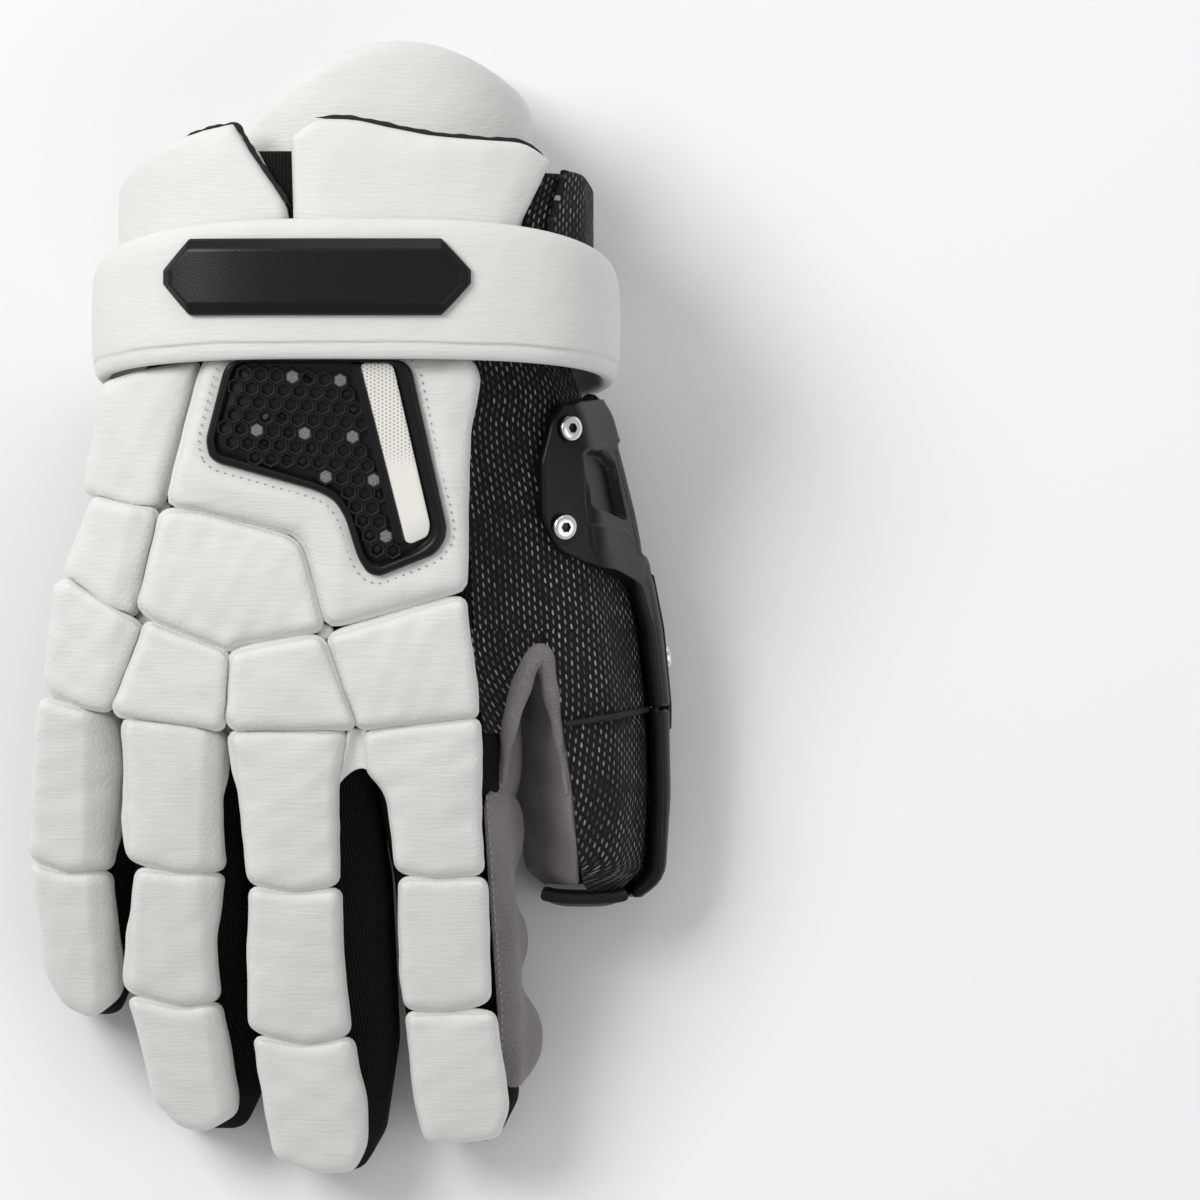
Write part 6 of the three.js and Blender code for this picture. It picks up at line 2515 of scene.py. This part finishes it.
BASE_ROWS = np.array([
    # y, from, to across the thumb's outer side
    [66, 0.8, 2.15], [61, 0.42, 2.8], [48, 0.08, 2.97], [30, 0.05, 2.97], [20, 0.3, 2.9], [15, 0.94, 2.88],
    [9, 1.75, 2.85], [-6, 1.88, 2.95], [-30.45, 1.88, 2.95],
])
TIP_ROWS = np.array([  # the same columns
    [-30.55, 1.88, 2.97], [-58, 1.88, 2.97], [-72, 1.9, 2.97], [-82, 1.94, 2.95], [-87.6, 1.97, 2.9],
])
TONGUE_ROWS = np.array([[11, 2.28, 2.58], [-6, 2.26, 2.6], [-30, 2.26, 2.6], [-38, 2.3, 2.58]])
OUTWARDS = (400, 0, 75)
# Millimetres round the thumb for 1 in the column across.
ACROSS = 25.0

SCREWS = [
    # y, across, whether it sits on the tongue
    (-75.5, 2.6, False), (-57.6, 2.5, False), (-15, 2.43, True), (42, 2.68, False), (27.5, 0.42, False),
    (58, 0.75, False),
]
SCREW_NODES = [
    "screw_tip_end", "screw_tip_middle", "screw_tongue", "screw_base_heel", "screw_base_corner",
    "screw_base_cuff",
]


@dataclass
class ThumbGuard:
    """The moulded guard along the thumb's outer side, and its screws."""

    wardrobe: Wardrobe
    repeater: Repeater
    plate: float = 5.0
    lift: float = 0.95
    tongue: float = 2.2
    rim: float = 1.7
    panel_depth: float = 1.0
    lip_height: float = 0.45
    window_depth: float = 3.3
    spine_height: float = 0.9
    channel_depth: float = 1.6
    well_depth: float = 0.35
    well_radius: float = 5.4

    def area(self, rows: Array, step: float, across: int = 76) -> tuple[Array, Array]:
        """A fine grid over rows of the thumb's side, and each point's y and across.

        Args:
            rows: The area's table.
            step: Distance of the lines along the thumb.
            across: How many lines cross its middle.

        Returns:
            The grid and the places.
        """
        ys = []
        for first, last in zip(rows[:-1, 0], rows[1:, 0]):
            count = max(2, math.ceil(abs(last - first) / step))
            ys += list(np.linspace(first, last, count, endpoint=False))
        ys.append(rows[-1, 0])
        edge = np.array([0, 0.008, 0.02, 0.035])
        shares = np.concatenate([edge, np.linspace(0.05, 0.95, across), 1 - edge[::-1]])
        places = np.zeros((len(ys), len(shares), 2))
        for i, y in enumerate(ys):
            _, low, high = row_at(rows, y)
            places[i, :, 0] = y
            places[i, :, 1] = lerp(low, high, shares)
        grid = np.array([[radial_point(y, a) for y, a in line] for line in places])
        return smoothed(grid, round(3 / step**2)), places

    def field(self, places: Array, corners: Table, soft: float = 0.8) -> Array:
        """1 inside an area given by y and across, 0 outside, with a soft edge.

        Args:
            places: y and across of each point.
            corners: The area.
            soft: Width of the edge.

        Returns:
            The share of each point.
        """
        scale = np.array([1.0, ACROSS])
        polygon = outline_of(np.array(corners) * scale, 2.0, 80)
        distance = inside_distance(places.reshape(-1, 2) * scale, polygon).reshape(places.shape[:2])
        return ease(-soft / 2, soft / 2, distance)

    def base(self) -> Surface:
        """The plate over the hand's side, with its window and the channel of the tongue.

        Returns:
            The closed shape.
        """
        grid, places = self.area(BASE_ROWS, 0.55, 130)
        panel = [
            [17, 2.74], [17, 1.95], [25.5, 1.62], [27.5, 0.86], [51, 0.92], [53, 1.6], [53, 2.4], [46, 2.74],
        ]
        window = [[33, 0.98], [29, 1.72], [46.5, 1.74], [50, 1.5], [50, 0.98]]
        recess = self.field(places, panel, 1.6)
        seam = self.field(places, panel, 3.0)
        hole = self.field(places, window, 1.3)
        channel = self.field(places, [[-40, 2.06], [13, 2.1], [13, 2.66], [-40, 2.68]], 1.0)
        spine = self.field(places, [[-45, 1.97], [16, 2.0], [16, 2.86], [-45, 2.86]], 2.6)
        lip = 4 * seam * (1 - seam)
        relief = self.lip_height * lip - self.panel_depth * recess - self.window_depth * hole
        relief += self.spine_height * spine - self.channel_depth * channel
        wells = np.zeros(places.shape[:2])
        for y, across, on_tongue in SCREWS:
            if not on_tongue:
                away = np.hypot(places[..., 0] - y, (places[..., 1] - across) * ACROSS)
                wells += np.exp(-((away / self.well_radius) ** 6))
        relief -= self.well_depth * wells
        step = 0.5 * ease(-0.4, 0.6, (places[..., 1] - 0.9) * ACROSS) - 0.5
        relief += step * (places[..., 0] > 12)
        made = shell(grid, self.plate, OUTWARDS, self.rim, self.lift, far_relief=relief)
        scaled = self.field(places, [[18.5, 2.7], [18.5, 1.9], [51, 1.84], [51, 2.4], [46, 2.7]], 1.0)
        self.inlay(made, grid, scaled * (1 - hole))
        return made

    def tip(self) -> Surface:
        """The plate over the thumb, with a scaled strip between its two screws.

        Returns:
            The closed shape.
        """
        grid, places = self.area(TIP_ROWS, 1.0)
        strip = self.field(places, [[-39, 2.1], [-39, 2.72], [-84, 2.72], [-84, 2.16]], 0.7)
        line = self.field(places, [[-37.5, 2.05], [-37.5, 2.78], [-85.3, 2.78], [-85.3, 2.1]], 1.4)
        ridge = ease(2.0, 0.0, np.abs(places[..., 1] - 2.0) * ACROSS)
        relief = 0.6 * line - 1.1 * strip + 0.5 * ridge
        made = shell(grid, self.plate, OUTWARDS, self.rim, self.lift, far_relief=relief)
        self.inlay(made, grid, strip)
        return made

    @staticmethod
    def inlay(made: Surface, grid: Array, share: Array) -> None:
        """Stores how far each point of a plate lies in an inlaid area.

        Args:
            made: The plate.
            grid: The points that it was made from.
            share: How far each of them lies in the area.
        """
        flat = grid.reshape(-1, 3)
        tree = KDTree(len(flat))
        for i, point in enumerate(flat):
            tree.insert(point, i)
        tree.balance()
        values = share.ravel()
        made.values["inlay"] = np.array([values[tree.find(p)[1]] for p in made.points])

    def tongue_bar(self) -> Surface:
        """The tongue that joins both plates, with a long slot.

        Returns:
            The closed shape.
        """
        rows = np.array([[y, low - 0.03, high + 0.03] for y, low, high in TONGUE_ROWS])
        grid, places = self.area(rows, 0.8)
        slot = self.field(places, [[-7, 2.36], [-7, 2.5], [8, 2.5], [8, 2.36]], 0.9)
        lift = self.lift + self.plate + 0.5
        made = shell(grid, self.tongue, OUTWARDS, 0.9, lift, far_relief=-1.4 * slot)
        made.values["inlay"] = np.zeros(len(made.points))
        return made

    def clip(self) -> Surface:
        """The band that passes under the thumb.

        Returns:
            The closed shape.
        """
        section = np.array([[60, 0.2], [84, 0], [87.6, 0.6], [89.2, 2.2], [89.2, 3.6], [86, 4], [60, 4]])
        rings = []
        first, last = -26, -52
        for y in (first, first - 0.6, last + 0.6, last):
            rings.append(np.column_stack([section[:, 0], np.full(len(section), y), section[:, 1]]))
        centre = section.mean(0)
        for i in (0, -1):
            rings[i][:, 0] = lerp(centre[0], rings[i][:, 0], 0.98)
            rings[i][:, 2] = lerp(centre[1], rings[i][:, 2], 0.8)
        low, high = (np.array([centre[0], y, centre[1]]) for y in (first, last))
        return capped_rings(rings, low, high)

    def cap(self) -> Surface:
        """The bumper across the thumb's tip.

        Returns:
            The closed shape.
        """
        plan = np.array([[60, -86.5], [63.5, -89.6], [68, -90.2], [79, -90.2], [83, -89.2], [86.5, -86.5]])
        control = [
            [[x, y + (1.2 if i in (0, 3) else 0), z] for x, y in plan] for i, z in enumerate((5, 14, 28, 38))
        ]
        grid = woven(np.array(control), 1.3, 1.8).grid
        nearest = -88.9 + 2.6 * ease(0, 1, np.abs(grid[..., 0] - 73.5) / 13 - 0.6)
        grid[..., 1] = np.minimum(grid[..., 1], nearest)
        return shell(grid, 4, (73, -500, 22), 1.6)

    def screw(self) -> Surface:
        """A screw head with a hexagon socket, drawn round the origin.

        Returns:
            The closed shape.
        """
        turn = np.linspace(0, 2 * np.pi, 36, endpoint=False)
        hexagon = 1.62 * math.cos(math.pi / 6) / np.cos((turn % (math.pi / 3)) - math.pi / 6)
        # reach, height
        steps = [
            (4.0, 0.0), (4.0, 0.8), (3.85, 1.15), (3.4, 1.45), (2.6, 1.68), (2.1, 1.7),
            (hexagon * 1.06, 1.66), (hexagon, 1.5), (hexagon, 0.35),
        ]
        rings = [polar(turn, reach, height) for reach, height in steps]
        made = capped_rings(rings, np.zeros(3), np.array([0, 0, 0.3]))
        x, y, z = made.points.T
        # marks the socket's inside, where the steel gets painted shade
        made.values["recess"] = ((np.hypot(x, y) < 1.75) & (z < 1.3) & (z > 0.01)).astype(float)
        return made

    def seats(self) -> tuple[Array, Array]:
        """Where the screws sit, and their axes.

        Returns:
            The places and the axes.
        """
        places, aims = [], []
        for y, across, on_tongue in SCREWS:
            along = radial_point(y + 1, across) - radial_point(y - 1, across)
            around = radial_point(y, across + 0.05) - radial_point(y, across - 0.05)
            normal = np.cross(along, around)
            normal /= np.linalg.norm(normal)
            normal = normal if normal[0] > 0 else -normal
            top = self.lift + self.plate
            rise = top + 0.5 + self.tongue + 0.1 if on_tongue else top + 0.25
            places.append(radial_point(y, across) + normal * rise)
            aims.append(normal)
        return np.array(places), np.array(aims)

    def build(self) -> None:
        """Makes and publishes the guard."""
        w = self.wardrobe
        show("guard_base_plate", self.base(), w.scaled, ["thumb_guard_base"], 50)
        show("guard_tip_plate", self.tip(), w.scaled, ["thumb_guard_tip"], 50)
        show("guard_tongue_bar", self.tongue_bar(), w.plastic, ["thumb_guard_tongue"], 50)
        show("guard_clip_band", self.clip(), w.plastic, ["thumb_guard_clip"], 30)
        show("thumb_tip_bumper", self.cap(), w.rubber, ["thumb_end_cap"], 50)
        places, aims = self.seats()
        screws = self.repeater.scatter("guard_screws", places, aims, self.screw(), w.steel, 35)
        publish(screws, SCREW_NODES)


# Lace, light and camera


@dataclass
class Lace:
    """The closing lace's free end and the eyelet that it leaves by."""

    wardrobe: Wardrobe
    angle: float = -136.0
    y: float = 109.0
    radius: float = 1.6

    def eyelet_frame(self) -> tuple[Array, Array]:
        """Middle of the eyelet and the direction out of it.

        Returns:
            The middle and the direction.
        """
        at = CUFF.point(self.angle, self.y, WING_INSET)
        before, after = (CUFF.point(self.angle + turn, self.y, WING_INSET) for turn in (-3, 3))
        around = after - before
        normal = np.array([-around[2], 0, around[0]])
        normal /= np.linalg.norm(normal)
        return at, normal if normal[2] < 0 else -normal

    def path(self) -> Array:
        """The lace's centreline.

        Returns:
            Its points.
        """
        at, normal = self.eyelet_frame()
        out = [at + normal * d for d in (1.4, 4, 7)]
        fall = out[-1] + np.array([2.5, 3, -4])
        rest = [
            [75, 116, 2.2], [73, 123, 1.8], [66, 127, 1.8], [57, 126, 1.8], [49, 121, 1.8], [42, 119, 1.8],
        ]
        line = flowing(np.array([*out, fall, *rest]), 90, 14)
        line[:, 2] = np.maximum(line[:, 2], self.radius + 0.05)
        return line

    def build(self) -> None:
        line = self.path()
        lace = make_object("closing_lace", tube(line, self.radius, 12), self.wardrobe.cord)
        publish(lace, ["lace"])

    def build_eyelet(self) -> None:
        """Makes the eyelet's ring."""
        at, normal = self.eyelet_frame()
        side = np.cross(normal, [0, 1, 0])
        side /= np.linalg.norm(side)
        other = np.cross(normal, side)
        # reach, height
        section = [
            (2.6, 0), (6.4, 0), (6.4, 0.6), (6.0, 1.2), (5.0, 1.55), (3.6, 1.55), (2.8, 1.2), (2.6, 0.8),
        ]
        sections = []
        for a in np.linspace(0, 2 * np.pi, 48, endpoint=False):
            spoke = side * math.cos(a) + other * math.sin(a)
            sections.append([at + normal * (1.2 + height) + spoke * reach for reach, height in section])
        ring = closed_sweep(np.array(sections))
        show("flap_eyelet", ring, self.wardrobe.plastic, ["flap_grommet"], 40)


# Name, place and width in metres, power in watts.
LAMPS = (
    ("key", (-1.2, 0.9, 1.7), 1.0, 34), ("fill", (1.5, -0.6, 1.6), 1.6, 7), ("rim", (0.3, 1.9, 1.1), 1.0, 6),
)


@dataclass
class Studio:
    """A pale floor, soft light and a long lens straight above.

    `centre` and `width` are the photograph's own, in the drawing's millimetres. `distance` is the
    camera's height and `subject` the height at which the width is exact, in metres.
    """

    wardrobe: Wardrobe
    centre: tuple[float, float] = (78.2, 4.0)
    width: float = 381.6
    distance: float = 3.6
    subject: float = 0.05
    sensor: float = 36.0
    floor: float = 4.0
    backdrop: tuple[float, ...] = (0.95, 0.97, 1.0, 1)

    def camera(self) -> None:
        """Sets the camera over the photograph's own middle."""
        lens = bpy.data.cameras.new("camera")
        lens.sensor_width = self.sensor
        lens.lens = self.sensor * (self.distance - self.subject) / (self.width * MM)
        lens.clip_end = 50
        camera = linked("camera", lens)
        x, y, _ = to_frame([*self.centre, 0])
        camera.location = (x, y, self.distance)
        bpy.context.scene.camera = camera

    def lamp(self, name: str, place: Sequence[float], size: float, power: float) -> None:
        """Adds a square soft light that faces the glove.

        Args:
            name: Its name.
            place: Where it stands, in metres.
            size: Width of its square.
            power: Its power in watts.
        """
        light = bpy.data.lights.new(name, "AREA")
        light.size = size
        light.energy = power
        made = linked(name, light)
        made.location = place
        from_light = -np.array(place, float)
        yaw = math.atan2(from_light[0], -from_light[1])
        pitch = math.atan2(math.hypot(from_light[0], from_light[1]), -from_light[2])
        made.rotation_euler = (pitch, 0, yaw + math.pi)

    def build(self) -> None:
        """Makes the floor and the lights."""
        mesh = bpy.data.meshes.new("floor")
        corners = [(x * self.floor, y * self.floor, 0) for x, y in ((-1, -1), (1, -1), (1, 1), (-1, 1))]
        mesh.from_pydata(corners, [], [(0, 1, 2, 3)])
        mesh.materials.append(self.wardrobe.floor)
        linked("floor", mesh)
        world = bpy.data.worlds.new("studio")
        world.use_nodes = True
        background = world.node_tree.nodes["Background"]
        background.inputs["Color"].default_value = self.backdrop
        background.inputs["Strength"].default_value = 0.5
        bpy.context.scene.world = world
        for lamp in LAMPS:
            self.lamp(*lamp)
        view = bpy.context.scene.view_settings
        view.view_transform = "Standard"
        view.exposure = 0.0


def main() -> None:
    """Builds the glove over its frame, in the studio."""
    logging.basicConfig(level=logging.INFO, format="%(name)s: %(message)s")
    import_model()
    wardrobe = Wardrobe()
    studio = Studio(wardrobe)
    studio.camera()
    lace = Lace(wardrobe)
    lace.build()
    repeater = Repeater()
    upholsterer = Upholsterer(wardrobe)
    cuff = Cuff(wardrobe)
    pads = all_pads()
    outlines = [shape.outline(64) for shape in pads]
    covers = {
        shape.name + "_cover": upholsterer.cover(shape, outlines[:i] + outlines[i + 1:], i)
        for i, shape in enumerate(pads)
    }
    wings = cuff.wings()
    upholsterer.fill({**covers, **wings}, {VENT_PAD + "_cover": np.array(VENT_OUTER, float)})
    for name, cover in covers.items():
        show(name, cover, wardrobe.fabric, [name.removesuffix("_cover")])
    for name, cover in wings.items():
        node = name.replace("cover", "pad")
        show(name, cover, wardrobe.fabric, [node])
    Fingers(wardrobe, repeater).build()
    Hand(wardrobe).build()
    Grooves(wardrobe, repeater).build()
    Thumb(wardrobe).build()
    Vent(wardrobe, repeater, pads[-1]).build()
    cuff.build_bare()
    ThumbGuard(wardrobe, repeater).build()
    lace.build_eyelet()
    studio.build()


if __name__ == "__main__":
    main()
